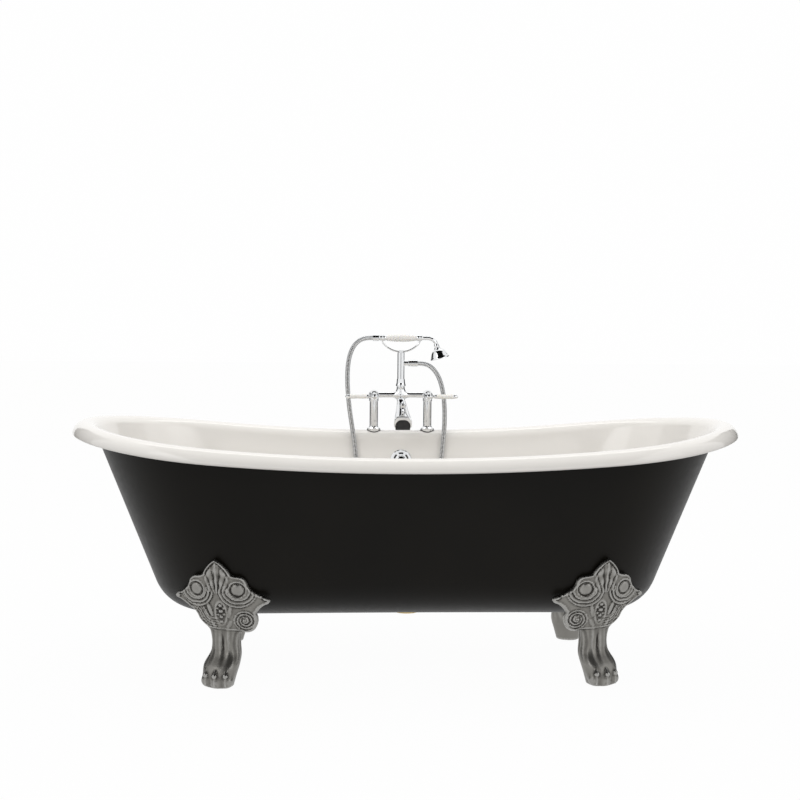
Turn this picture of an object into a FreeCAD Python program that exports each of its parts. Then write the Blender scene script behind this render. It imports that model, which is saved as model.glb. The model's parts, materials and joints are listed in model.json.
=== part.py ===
"""Clawfoot bathtub with a deck-mounted bath and shower mixer.

Millimetres. +Z is up and the origin is on the floor under the middle of the tub. The length runs along X, the
mixer stands on the back rim at +Y, and the front of the tub faces -Y.
"""
import FreeCAD, Part
import math
import os

from FreeCAD import Rotation, Vector

os.makedirs("parts", exist_ok=True)

X_AXIS = Vector(1, 0, 0)
Y_AXIS = Vector(0, 1, 0)
Z_AXIS = Vector(0, 0, 1)

# ---------------------------------------------------------------- clearances
RUNNING_GAP = 0.05              # round a shaft that turns or slides in its bore
FACE_GAP = 0.3                  # between curved faces that would touch
HOLE_GAP = 1.5                  # round a pipe where it passes through the tub

# ---------------------------------------------------------------- tub shell
TUB_LENGTH = 1700.0
TUB_WIDTH = 740.0
RIM_HEIGHT = 568.5              # crown of the roll halfway along a side
RIM_RISE = 60.5                 # how much higher the crown is at either end
UNDERSIDE_HEIGHT = 151.0        # flat bottom of the casting above the floor
ROLL_RADIUS = 33.0              # outside of the rolled rim
ROLL_END = 8.0                  # degrees above its outer edge where the roll ends in the lip
ROLL_INNER_STEPS = 3            # flat strips of the roll from the wall to its crown
ROLL_OUTER_STEPS = 5            # and from its crown to the lip
END_LEAN = 21.5                 # degrees that the end walls lean outwards
SIDE_LEAN = 13.0
END_CORNER = 110.0              # radius from an end wall into the bottom, outside
SIDE_CORNER = 160.0
IRON_THICKNESS = 7.0
ENAMEL_THICKNESS = 1.5
SHELL_THICKNESS = IRON_THICKNESS + ENAMEL_THICKNESS

# ---------------------------------------------------------------- feet
FOOT_INSET = 380.0              # middle of a paw from the tub's end
FOOT_X = TUB_LENGTH / 2 - FOOT_INSET
FOOT_SETBACK = 122.0            # middle of a paw from the tub's side
FOOT_Y = TUB_WIDTH / 2 - FOOT_SETBACK
FOOT_TURN = 18.0                # degrees that each foot faces away from straight forwards
SHIELD_HEIGHT = 316.0           # tip of the palmette above the floor
SHIELD_THICKNESS = 12.0         # of the plate that hugs the tub
SHIELD_LEAN = 14.0              # degrees that the plate leans outwards
SHIELD_DRUM = 255.0             # radius of the back of the plate
SHIELD_SEAT = 3.0               # back of the plate behind the middle of the paw, at the scrolls
SHIELD_SHIFT = 16.0             # the drum's axis towards the tub's end
WING_REACH = 118.0              # wing tip to the middle of the foot
WING_HEIGHT = 216.0
SCROLL_SPREAD = 52.0            # eye of a volute to the middle of the foot
SCROLL_HEIGHT = 239.0
SCROLL_RADIUS = 27.0
SOLE_WIDTH = 66.0
TOE_RADIUS = 13.0
FOOT_BOLT_RADIUS = 5.0
FOOT_BOLT_INSET = 95.0          # bolt behind the middle of the paw
FOOT_BOSS_RADIUS = 16.0
BOSS_DROP = 1.0                 # of the boss below the tub's underside
SHELF_TOP = UNDERSIDE_HEIGHT - BOSS_DROP
SHELF_THICKNESS = 8.0
NUT_HEIGHT = 8.0
WASHER_THICKNESS = 2.0

# ---------------------------------------------------------------- waste and overflow
WASTE_HOLE = 25.0
WASTE_FLANGE_RADIUS = 35.0
WASTE_FLANGE_HEIGHT = 4.0
WASTE_PIPE_RADIUS = 22.0        # threaded neck of the flange
WASTE_PIPE_BORE = 17.5
WASTE_OUTLET_RADIUS = 19.5      # inside thread of the outlet
WASTE_BODY_RADIUS = 33.0
WASTE_BODY_BOTTOM = UNDERSIDE_HEIGHT - 21.0
WASTE_GASKET = 2.5
PLUG_RADIUS = 27.0
PLUG_STEM_RADIUS = 4.0
OVERFLOW_HEIGHT = RIM_HEIGHT - 79.5
OVERFLOW_RADIUS = 29.0
OVERFLOW_NECK_RADIUS = 20.0
OVERFLOW_PLATE = 4.0
OVERFLOW_KNOB_RADIUS = 12.5
OVERFLOW_PIPE_RADIUS = 9.0
OVERFLOW_PIPE_WALL = 1.5
PIPE_STANDOFF = 12.0            # middle of the overflow pipe from the casting

# ---------------------------------------------------------------- mixer
INLET_SPACING = 150.0           # between the two legs
LEG_RADIUS = 12.0
LEG_BORE = 7.5
LEG_FLANGE_RADIUS = 19.0
SHANK_RADIUS = 13.2             # outside of the G 3/4 thread
SHANK_DROP = 90.5               # end of the thread below the rim
SHANK_BOTTOM = RIM_HEIGHT - SHANK_DROP
BAR_RISE = 98.5                 # axis of the crossbar above the rim
BAR_HEIGHT = RIM_HEIGHT + BAR_RISE
BAR_RADIUS = 8.5
BALL_RADIUS = 14.5
HUB_RADIUS = 14.5
COLLAR_RADIUS = 13.0
COLLAR_DROP = 38.0              # end of the hub's collar below the crossbar
VALVE_REACH = 35.0              # front of the bonnets before the crossbar
CARTRIDGE_RADIUS = 8.0
SPINDLE_RADIUS = 3.5
LEVER_HUB_RADIUS = 10.0
LEVER_HUB_LENGTH = 35.0
LEVER_REACH = 81.0              # tip of a lever from its axis
GRIP_START = 21.0
GRIP_LENGTH = 48.0
GRIP_RADIUS = 6.5
GRIP_ROD_RADIUS = 2.5           # of the rod inside a grip
SPOUT_REACH = 127.0             # nose of the spout before the crossbar
SPOUT_NOSE_DROP = 49.0          # top of the nose below the crossbar
SPOUT_NOSE_DEPTH = 38.0
SPOUT_NOSE_WIDTH = 49.0
SPOUT_ROUNDING = 0.27           # corner radius as a share of the spout's smaller side
OUTLET_RADIUS = 9.0
OUTLET_INSET = 17.0             # middle of the outlet behind the nose
OUTLET_DEPTH = 26.0
KNOB_HEIGHT = 22.0              # diverter knob above the spout
KNOB_ROD_RADIUS = 3.5
RISER_RADIUS = 10.25
RISER_BOTTOM = BAR_HEIGHT + 23.0
RISER_LENGTH = 95.0
RISER_TOP = RISER_BOTTOM + RISER_LENGTH
BRANCH_DROP = 29.5              # middle of the hose's branch below the riser's top
BRANCH_HEIGHT = RISER_TOP - BRANCH_DROP
BRANCH_REACH = 29.0

# ---------------------------------------------------------------- cradle and hand shower
HANDSET_RISE = 41.0             # middle of the hand shower above the riser
HANDSET_HEIGHT = RISER_TOP + HANDSET_RISE
FORK_SPREAD = 52.0
CRADLE_ROD = 2.6
GRIP_HALF_LENGTH = 43.0
HANDSET_GRIP_RADIUS = 10.5
HANDSET_NECK_RADIUS = 7.0
HANDSET_COLLAR_RADIUS = 8.8
HANDSET_TAIL_LENGTH = 62.0      # end of the tail from the middle of the grip
ROSE_RADIUS = 28.0
ROSE_DEPTH = 32.0
ROSE_TILT = 15.0                # degrees that the spray face turns from straight down
ROSE_BEND = 15.0                # radius of the neck's bend
HOSE_RADIUS = 7.0
HOSE_BORE = 4.5

# Points of the hose's route, from the riser's branch down into the tub and up to the hand shower.
HOSE_ROUTE = [
    (46, 337, 755.5), (64, 337, 755.5), (82.5, 336, 748), (99, 333, 730.5), (111, 328, 705), (119, 320, 669),
    (122, 311, 620), (120, 300, 570), (114, 289, 515), (107, 275, 455), (98, 260, 392), (80, 245, 333),
    (45, 233, 288), (-10, 227, 268), (-62, 233, 288), (-97, 245, 333), (-114, 260, 392), (-121, 275, 455),
    (-127, 289, 515), (-134, 300, 570), (-143, 311, 625), (-149, 320, 685), (-149.5, 328, 738), (-144, 333, 775),
    (-133.8, 336, 801), (-119, 337, 817.5), (-99, 337, 826), (-79, 337, 826),
]


# ================================================================ helpers
def cylinder(start, axis, radius, length):
    return Part.makeCylinder(radius, length, start, axis)


def tube(start, axis, outer, inner, length):
    return cylinder(start, axis, outer, length).cut(cylinder(start, axis, inner, length))


def hexagon(start, axis, across_flats, length):
    """A hexagonal bar along an axis that is one of the frame's."""
    radius = across_flats / math.sqrt(3)
    corners = [Vector(radius * math.cos(i * math.pi / 3), radius * math.sin(i * math.pi / 3), 0) for i in range(6)]
    bar = Part.Face(Part.makePolygon(corners + corners[:1])).extrude(Vector(0, 0, length))
    bar.Placement = FreeCAD.Placement(start, Rotation(Z_AXIS, axis))
    return bar


def turned(profile, start, axis):
    """A body of revolution: (radius, distance) pairs, joined by lines, turned round an axis."""
    points = [Vector(radius, 0, along) for radius, along in profile]
    face = Part.Face(Part.makePolygon(points + points[:1]))
    body = face.revolve(Vector(0, 0, 0), Z_AXIS, 360)
    body.Placement = FreeCAD.Placement(start, Rotation(Z_AXIS, axis))
    return body


def turned_curve(curve, start, axis):
    """A body of revolution whose outside is one smooth curve through (radius, distance) pairs."""
    points = [Vector(radius, 0, along) for radius, along in curve]
    spline = Part.BSplineCurve()
    spline.interpolate(Points=points)
    first, last = points[0], points[-1]
    foot = Vector(0, 0, first.z)
    head = Vector(0, 0, last.z)
    edges = [Part.makeLine(foot, first), spline.toShape(), Part.makeLine(last, head), Part.makeLine(head, foot)]
    body = Part.Face(Part.Wire(edges)).revolve(Vector(0, 0, 0), Z_AXIS, 360)
    body.Placement = FreeCAD.Placement(start, Rotation(Z_AXIS, axis))
    return body


def round_sweep(path, radius):
    """A round rod along a wire."""
    edge = path.OrderedEdges[0]
    start = edge.valueAt(edge.FirstParameter)
    direction = edge.tangentAt(edge.FirstParameter)
    if (path.OrderedVertexes[0].Point - start).Length > 1e-6:
        start = edge.valueAt(edge.LastParameter)
        direction = edge.tangentAt(edge.LastParameter) * -1
    ring = Part.Wire(Part.makeCircle(radius, start, direction))
    return path.makePipeShell([ring], True, True)


def mirrored_x(shape):
    return shape.mirror(Vector(0, 0, 0), X_AXIS)


def mirrored_y(shape):
    return shape.mirror(Vector(0, 0, 0), Y_AXIS)


def export(node, shape):
    """Write one node, after checking that it is made of valid closed solids."""
    for solid in shape.Solids:
        if not solid.isValid() or solid.Volume <= 0:
            print("not a valid solid:", node)
    if not shape.Solids:
        print("no solid:", node)
    shape.exportStep("parts/" + node + ".step")


# ================================================================ tub shell
class WallSection:
    """A wall's section: bottom corner arc, straight leaning wall, then the roll of the rim.

    Depth is measured from the enamel's face into the wall. Both arcs keep their centres at every depth, so that
    layers at different depths are parallel.
    """

    def __init__(self, half_width, crown, lean, corner):
        self.lean = math.radians(lean)
        self.corner = corner - SHELL_THICKNESS
        self.roll_reach = half_width - ROLL_RADIUS
        self.roll_height = crown - ROLL_RADIUS
        self.corner_height = UNDERSIDE_HEIGHT + corner
        rise = self.roll_height - self.corner_height
        across = self.corner + ROLL_RADIUS + math.sin(self.lean) * rise
        self.corner_reach = self.roll_reach - across / math.cos(self.lean)

    def corner_point(self, share, depth):
        angle = share * (math.pi / 2 - self.lean)
        radius = self.corner + depth
        return (self.corner_reach + radius * math.sin(angle), self.corner_height - radius * math.cos(angle))

    def roll_point(self, step, depth):
        first = 180.0 - math.degrees(self.lean)
        inner = [first + (90.0 - first) * i / ROLL_INNER_STEPS for i in range(ROLL_INNER_STEPS)]
        outer = [90.0 + (ROLL_END - 90.0) * i / ROLL_OUTER_STEPS for i in range(ROLL_OUTER_STEPS + 1)]
        angle = math.radians((inner + outer)[step])
        radius = ROLL_RADIUS - depth
        return (self.roll_reach + radius * math.cos(angle), self.roll_height + radius * math.sin(angle))

    def point(self, station, depth):
        zone, share = station
        if zone == "corner":
            return self.corner_point(share, depth)
        if zone == "roll":
            return self.roll_point(share, depth)
        low = self.corner_point(1.0, depth)
        high = self.roll_point(0, depth)
        return (low[0] + share * (high[0] - low[0]), low[1] + share * (high[1] - low[1]))

    def wall_reach(self, height, depth):
        """How far out the straight wall is at a height."""
        low = self.corner_point(1.0, depth)
        high = self.roll_point(0, depth)
        return low[0] + (height - low[1]) * (high[0] - low[0]) / (high[1] - low[1])


END_SECTION = WallSection(TUB_LENGTH / 2, RIM_HEIGHT + RIM_RISE, END_LEAN, END_CORNER)
SIDE_SECTION = WallSection(TUB_WIDTH / 2, RIM_HEIGHT, SIDE_LEAN, SIDE_CORNER)
RIM_Y = SIDE_SECTION.roll_reach                 # middle of the roll, where the mixer stands

CORNER_STEPS = 5
WALL_STEPS = 4
CORNER_STATIONS = [("corner", i / CORNER_STEPS) for i in range(CORNER_STEPS + 1)]
WALL_STATIONS = [("wall", i / WALL_STEPS) for i in range(1, WALL_STEPS)]
ROLL_STATIONS = [("roll", i) for i in range(ROLL_INNER_STEPS + ROLL_OUTER_STEPS + 1)]
SHELL_STATIONS = CORNER_STATIONS + WALL_STATIONS + ROLL_STATIONS
END_STEPS = 7                                   # spans of the curve round an end


def crown_height(x):
    """Height of the roll's crown along a side."""
    return RIM_HEIGHT + RIM_RISE * (x / (TUB_LENGTH / 2)) ** 2


def shell_ring(station, depth):
    """The ring round the tub at a station of the section: +X end, back, -X end and front, as four edges."""
    end_x, end_z = END_SECTION.point(station, depth)
    side_y, side_z = SIDE_SECTION.point(station, depth)
    centre = end_x - side_y

    def height(x):
        return side_z + (end_z - side_z) * (x / end_x) ** 2

    def end_curve(side):
        points = []
        for i in range(END_STEPS + 1):
            angle = math.pi * (i / END_STEPS - 0.5)
            x = centre + side_y * math.cos(angle)
            points.append(Vector(side * x, side * side_y * math.sin(angle), height(x)))
        curve = Part.BSplineCurve()
        curve.interpolate(Points=points)
        return curve.toShape()

    def side_curve(side):
        # a parabola, whose middle pole lies where the end tangents meet
        sink = height(centre) - 2 * (height(centre) - height(0.0))
        curve = Part.BezierCurve()
        curve.setPoles([
            Vector(side * centre, side * side_y, height(centre)), Vector(0, side * side_y, sink),
            Vector(-side * centre, side * side_y, height(centre))])
        return curve.toShape()

    return [end_curve(1), side_curve(1), end_curve(-1), side_curve(-1)]


def shell_strips(rings):
    faces = []
    for low, high in zip(rings, rings[1:]):
        faces += [Part.makeRuledSurface(below, above) for below, above in zip(low, high)]
    return faces


def shell_layer(inner_depth, outer_depth):
    """A solid between two parallel faces of the wall, closed at the lip and with flat bottoms."""
    inner = [shell_ring(station, inner_depth) for station in SHELL_STATIONS]
    outer = [shell_ring(station, outer_depth) for station in SHELL_STATIONS]
    faces = shell_strips(inner) + shell_strips(outer) + shell_strips([inner[-1], outer[-1]])
    faces += [Part.Face(Part.Wire(inner[0])), Part.Face(Part.Wire(outer[0]))]
    return sewn_solid(faces)


def sewn_solid(faces):
    shell = Part.makeShell(faces)
    shell.sewShape()
    solid = Part.Solid(shell if shell.ShapeType == "Shell" else shell.Shells[0])
    if solid.Volume < 0:
        solid.reverse()
    return solid


def flat_ring(end_x, side_y, height):
    """A level ring round the tub: half circles at the ends and straight sides."""
    centre = end_x - side_y

    def end_arc(side):
        return Part.Arc(
            Vector(side * centre, -side * side_y, height), Vector(side * end_x, 0, height),
            Vector(side * centre, side * side_y, height)).toShape()

    def side_line(side):
        return Part.makeLine(
            Vector(side * centre, side * side_y, height), Vector(-side * centre, side * side_y, height))

    return [end_arc(1), side_line(1), end_arc(-1), side_line(-1)]


def filled_tub(depth):
    """All that lies inside the wall at a depth from the enamel's face, as a solid with a level top."""
    stations = CORNER_STATIONS + WALL_STATIONS[:-1]
    rings = [shell_ring(station, depth) for station in stations]
    end_x, _ = END_SECTION.point(stations[-1], depth)
    side_y, _ = SIDE_SECTION.point(stations[-1], depth)
    rings.append(flat_ring(end_x, side_y, RIM_HEIGHT))
    return sewn_solid(shell_strips(rings) + [Part.Face(Part.Wire(rings[0])), Part.Face(Part.Wire(rings[-1]))])


# ================================================================ feet
FOOT_CENTRE = Vector(FOOT_X, -FOOT_Y, 0)
FOOT_PLACE = FreeCAD.Placement(FOOT_CENTRE, Rotation(Z_AXIS, FOOT_TURN))
FOOT_BOLT = FOOT_PLACE.multVec(Vector(0, FOOT_BOLT_INSET, 0))


def oval(half_width, half_depth, middle, height, sides=14):
    """A horizontal oval as a polygon, in the foot's own frame, where -Y faces away from the tub."""
    corners = []
    for i in range(sides):
        angle = 2 * math.pi * i / sides
        corners.append(Vector(half_width * math.cos(angle), middle + half_depth * math.sin(angle), height))
    return Part.makePolygon(corners + corners[:1])


def foot_leg():
    """The cabriole leg: out at the knee, in at the ankle, out again over the paw."""
    ovals = [
        oval(44, 10, -5, 234), oval(45, 20, 1, 205), oval(43, 30, 26, 168), oval(39, 27, 46, 130),
        oval(38, 26, 43, 96), oval(40, 30, 26, 64), oval(39, 37, 8, 34), oval(SOLE_WIDTH / 2, 36, 4, 0)]
    return Part.makeLoft(ovals, True, True)


def chain_of_arcs(points):
    """Arcs through every second point of a chain, each over the point between."""
    edges = []
    for i in range(0, len(points) - 2, 2):
        edges.append(Part.Arc(points[i], points[i + 1], points[i + 2]).toShape())
    return edges


def shield_outline():
    """The shield's outline: half of it from the palmette's tip down to the leg, and its mirror image."""
    crown = [(0, SHIELD_HEIGHT), (19, 309), (31, 285), (33, 280), (36, 276), (60, 276), (78, 248), (88, 234),
             (WING_REACH - 6, WING_HEIGHT + 8), (WING_REACH, WING_HEIGHT), (WING_REACH - 8, WING_HEIGHT - 6)]
    outer = [(90, 206), (70, 192), (62, 170), (40, 150)]
    inner = [(96, 206), (84, 196), (90, 158), (60, 138)]
    right = [Vector(across, 0, height) for across, height in crown + outer]
    left = [Vector(-across, 0, height) for across, height in crown + inner]
    edges = chain_of_arcs(right) + [Part.makeLine(right[-1], left[-1])] + chain_of_arcs(left)
    return Part.Face(Part.Wire(Part.sortEdges(edges)[0]))


def shield_layer(height):
    """A leaning drum whose wall follows the tub at a height above it, in the foot's own frame."""
    drum = Part.makeCylinder(SHIELD_DRUM + height, 600, Vector(SHIELD_SHIFT, SHIELD_DRUM, -300), Z_AXIS)
    drum.rotate(Vector(0, 0, 0), X_AXIS, SHIELD_LEAN)
    drum.translate(Vector(0, SHIELD_SEAT, SCROLL_HEIGHT))
    return drum


def foot_toe(across, forward, turn):
    """One toe: a blunt knuckle that narrows to a claw on the floor."""
    toe = turned([(0, 30), (4, 30), (TOE_RADIUS, 14), (TOE_RADIUS, -2), (TOE_RADIUS - 4, -16), (0, -16)],
                 Vector(0, 0, 0), Z_AXIS)
    toe.rotate(Vector(0, 0, 0), X_AXIS, 118)
    toe.rotate(Vector(0, 0, 0), Z_AXIS, turn)
    toe.translate(Vector(across, -forward, 20))
    return toe


def volute(side):
    """A stepped scroll that stands square on the shield."""
    lean = math.radians(SHIELD_LEAN)
    across = math.asin((side * SCROLL_SPREAD - SHIELD_SHIFT) / SHIELD_DRUM)
    outward = Vector(math.sin(across), -math.cos(across) * math.cos(lean), -math.cos(across) * math.sin(lean))
    sink = SHIELD_DRUM * (1 - math.cos(across))
    root = Vector(side * SCROLL_SPREAD, SHIELD_SEAT + sink, SCROLL_HEIGHT) + outward * 1.0
    scroll = cylinder(root, outward, SCROLL_RADIUS, SHIELD_THICKNESS + 4)
    return scroll.fuse(cylinder(root, outward, SCROLL_RADIUS * 0.42, SHIELD_THICKNESS + 10))


def palmette_leaf():
    """The ribbed leaf up the middle of the shield."""
    rings = [(2, 5, -50), (15, 22, 0), (12, 20, 38), (2, 6, 66)]
    leaf = Part.makeLoft([oval(wide, deep, 0, along, 6) for wide, deep, along in rings], True, True)
    leaf.rotate(Vector(0, 0, 0), X_AXIS, SHIELD_LEAN)
    leaf.translate(Vector(0, SHIELD_SEAT - 10, SCROLL_HEIGHT))
    return leaf.cut(shield_layer(0.0))


def front_right_foot():
    shield = shield_outline().extrude(Vector(0, 190, 0))
    shield.translate(Vector(0, -95, 0))
    foot = shield.common(shield_layer(SHIELD_THICKNESS)).cut(shield_layer(0.0))
    bolt_line = Vector(0, FOOT_BOLT_INSET, 0)
    shelf = Part.makeBox(52, 62, SHELF_THICKNESS, Vector(-26, FOOT_BOLT_INSET - 40, SHELF_TOP - SHELF_THICKNESS))
    shelf = shelf.cut(cylinder(bolt_line, Z_AXIS, FOOT_BOLT_RADIUS + 0.5, 200))
    toes = [foot_toe(-22, 18, -14), foot_toe(0, 26, 0), foot_toe(22, 18, 14)]
    for piece in [volute(-1), volute(1), palmette_leaf(), foot_leg(), shelf] + toes:
        foot = foot.fuse(piece)
    drum = shield_layer(0.0).common(Part.makeBox(400, 400, 400, Vector(-200, -200, SHELF_TOP + 4)))
    foot = foot.cut(drum)
    foot = foot.cut(Part.makeBox(400, 400, 60, Vector(-200, -200, -60)))
    foot.Placement = FOOT_PLACE
    return foot.Solids[0]


# ================================================================ foot fixings
def four_ways(shape):
    """A piece at the front right foot, and its copies at the other three."""
    pair = [shape, mirrored_x(shape)]
    return pair + [mirrored_y(piece) for piece in pair]


def foot_fixings():
    below = SHELF_TOP - SHELF_THICKNESS
    nut_top = below - WASHER_THICKNESS
    nut_bottom = nut_top - NUT_HEIGHT
    place = Vector(FOOT_BOLT.x, FOOT_BOLT.y, 0)
    bolt = cylinder(place + Z_AXIS * (nut_bottom - 3), Z_AXIS, FOOT_BOLT_RADIUS, SHELF_TOP - nut_bottom + 3)
    washer = tube(place + Z_AXIS * nut_top, Z_AXIS, 10.5, FOOT_BOLT_RADIUS + 0.25, WASHER_THICKNESS)
    nut = hexagon(place + Z_AXIS * nut_bottom, Z_AXIS, 17.0, NUT_HEIGHT)
    nut = nut.cut(cylinder(place, Z_AXIS, FOOT_BOLT_RADIUS, 300))
    export("foot_bolts", Part.makeCompound(four_ways(bolt)))
    export("foot_washers", Part.makeCompound(four_ways(washer)))
    export("foot_nuts", Part.makeCompound(four_ways(nut)))


# ================================================================ waste and overflow
INNER_BOTTOM = UNDERSIDE_HEIGHT + SHELL_THICKNESS
WALL_LEAN = math.radians(SIDE_LEAN)
OVERFLOW_SEAT = Vector(0, SIDE_SECTION.wall_reach(OVERFLOW_HEIGHT, 0.0), OVERFLOW_HEIGHT)
INTO_TUB = Vector(0, -math.cos(WALL_LEAN), math.sin(WALL_LEAN))
DOWN_WALL = Vector(0, -math.sin(WALL_LEAN), -math.cos(WALL_LEAN))


def on_wall(out):
    """A point on the overflow's axis, measured from the enamel into the tub."""
    return OVERFLOW_SEAT + INTO_TUB * out


def arc_slot(middle_turn):
    """A curved slot through the overflow's plate, in the plate's own plane."""
    half = 19.0
    outer = 21.5
    inner = 16.5

    def at(radius, turn):
        return Vector(radius * math.cos(math.radians(turn)), radius * math.sin(math.radians(turn)), 0)

    low = middle_turn - half
    high = middle_turn + half
    wire = Part.Wire([
        Part.Arc(at(outer, low), at(outer, middle_turn), at(outer, high)).toShape(),
        Part.makeLine(at(outer, high), at(inner, high)),
        Part.Arc(at(inner, high), at(inner, middle_turn), at(inner, low)).toShape(),
        Part.makeLine(at(inner, low), at(outer, low))])
    return Part.Face(wire).extrude(Vector(0, 0, 40))


def overflow_set():
    tip = Rotation(Z_AXIS, INTO_TUB)
    plate = turned([
        (0, 0), (OVERFLOW_RADIUS, 0), (OVERFLOW_RADIUS, 2), (OVERFLOW_RADIUS - 2.5, OVERFLOW_PLATE),
        (0, OVERFLOW_PLATE)], Vector(0, 0, 0), Z_AXIS)
    plate = plate.cut(cylinder(Vector(0, 0, -1), Z_AXIS, 5.0 + RUNNING_GAP, 20))
    for i in range(6):
        plate = plate.cut(arc_slot(30 + 60 * i))
    plate.Placement = FreeCAD.Placement(on_wall(FACE_GAP), tip)
    export("overflow_faceplate", plate)

    knob = turned([
        (0, -14), (5.0, -14), (5.0, OVERFLOW_PLATE + FACE_GAP), (OVERFLOW_KNOB_RADIUS, OVERFLOW_PLATE + FACE_GAP),
        (OVERFLOW_KNOB_RADIUS, 9), (9, 12), (0, 13)], Vector(0, 0, 0), Z_AXIS)
    knob.Placement = FreeCAD.Placement(on_wall(FACE_GAP), tip)
    export("overflow_knob", knob)

    back = -SHELL_THICKNESS
    gasket = tube(on_wall(back - WASTE_GASKET), INTO_TUB, 27.0, OVERFLOW_NECK_RADIUS + 1, WASTE_GASKET)
    export("overflow_gasket", gasket)
    elbow = turned([
        (14, -1), (OVERFLOW_NECK_RADIUS, -1), (OVERFLOW_NECK_RADIUS, back - WASTE_GASKET), (27, back - WASTE_GASKET),
        (27, back - 23), (0, back - 23), (0, back - 20), (14, back - 20)], Vector(0, 0, 0), Z_AXIS)
    elbow.Placement = FreeCAD.Placement(on_wall(0), tip)
    pipe_line = on_wall(back - PIPE_STANDOFF)
    socket = cylinder(pipe_line + DOWN_WALL * 22, DOWN_WALL, OVERFLOW_PIPE_RADIUS + 2, 16)
    bore = cylinder(pipe_line, DOWN_WALL, OVERFLOW_PIPE_RADIUS + 0.02, 60)
    export("overflow_elbow", elbow.fuse(socket).cut(bore).cut(gasket))

    start = pipe_line + DOWN_WALL * 26
    bend = SIDE_CORNER + PIPE_STANDOFF
    centre = Vector(0, SIDE_SECTION.corner_reach, SIDE_SECTION.corner_height)
    leave = centre + Vector(0, math.cos(WALL_LEAN), -math.sin(WALL_LEAN)) * bend
    half = math.pi / 4 + WALL_LEAN / 2
    middle = centre + Vector(0, math.sin(half), -math.cos(half)) * bend
    arrive = centre + Vector(0, 0, -bend)
    end = Vector(0, WASTE_BODY_RADIUS + 4, arrive.z)
    path = Part.Wire([
        Part.makeLine(start, leave), Part.Arc(leave, middle, arrive).toShape(), Part.makeLine(arrive, end)])
    pipe = round_sweep(path, OVERFLOW_PIPE_RADIUS).cut(round_sweep(path, OVERFLOW_PIPE_RADIUS - OVERFLOW_PIPE_WALL))
    export("overflow_pipe", pipe)
    return end


def waste_set(branch):
    flange_top = INNER_BOTTOM + WASTE_FLANGE_HEIGHT
    gasket_bottom = UNDERSIDE_HEIGHT - WASTE_GASKET
    neck_bottom = gasket_bottom - 8.0
    flange = turned([
        (WASTE_PIPE_BORE, neck_bottom), (WASTE_PIPE_RADIUS, neck_bottom), (WASTE_PIPE_RADIUS, INNER_BOTTOM),
        (WASTE_FLANGE_RADIUS, INNER_BOTTOM), (WASTE_FLANGE_RADIUS - 3, flange_top - 1),
        (WASTE_PIPE_BORE + 9, flange_top), (WASTE_PIPE_BORE, INNER_BOTTOM)], Vector(0, 0, 0), Z_AXIS)
    spider = Part.makeBox(2 * WASTE_PIPE_BORE + 2, 5, 5, Vector(-WASTE_PIPE_BORE - 1, -2.5, neck_bottom))
    spider = spider.fuse(cylinder(Vector(0, 0, neck_bottom), Z_AXIS, PLUG_STEM_RADIUS + 3, 5))
    flange = flange.fuse(spider)
    flange = flange.cut(cylinder(Vector(0, 0, 100), Z_AXIS, PLUG_STEM_RADIUS + RUNNING_GAP, 100))
    export("waste_flange", flange)
    export("waste_gasket", tube(
        Vector(0, 0, gasket_bottom), Z_AXIS, WASTE_BODY_RADIUS, WASTE_HOLE, WASTE_GASKET))

    body = cylinder(Vector(0, 0, WASTE_BODY_BOTTOM), Z_AXIS, WASTE_BODY_RADIUS, gasket_bottom - WASTE_BODY_BOTTOM)
    spigot = cylinder(Vector(0, 0, branch.z), Y_AXIS, OVERFLOW_PIPE_RADIUS - 0.5, branch.y)
    body = body.fuse(spigot)
    body = body.cut(cylinder(Vector(0, 0, 100), Z_AXIS, WASTE_OUTLET_RADIUS, 60))
    body = body.cut(cylinder(Vector(0, 0, neck_bottom), Z_AXIS, WASTE_PIPE_RADIUS + 0.02, 30))
    body = body.cut(cylinder(Vector(0, 0, branch.z), Y_AXIS, OVERFLOW_PIPE_RADIUS - 2.5, branch.y + 1))
    export("waste_body", body)

    plug = turned([
        (0, neck_bottom + 0.5), (PLUG_STEM_RADIUS, neck_bottom + 0.5), (PLUG_STEM_RADIUS, flange_top + 2),
        (PLUG_RADIUS, flange_top + 2), (PLUG_RADIUS, flange_top + 4), (PLUG_RADIUS - 7, flange_top + 6),
        (0, flange_top + 7)], Vector(0, 0, 0), Z_AXIS)
    export("waste_plug", plug)
    export("plug_seal", tube(
        Vector(0, 0, flange_top + 0.5), Z_AXIS, WASTE_PIPE_BORE + 6, PLUG_STEM_RADIUS, 1.5))


# ================================================================ mixer
LEG_X = INLET_SPACING / 2
LEG_CROWN = crown_height(LEG_X)
UPPER_SHANK_RADIUS = SHANK_RADIUS + 0.4
BACKNUT_BOTTOM = LEG_CROWN - ROLL_RADIUS - 4
VALVE = Vector(LEG_X, RIM_Y, BAR_HEIGHT)


def roll_room(radius):
    """The round room that the roll takes up where the mixer stands."""
    return cylinder(Vector(-200, RIM_Y, LEG_CROWN - ROLL_RADIUS), X_AXIS, radius, 400)


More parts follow.
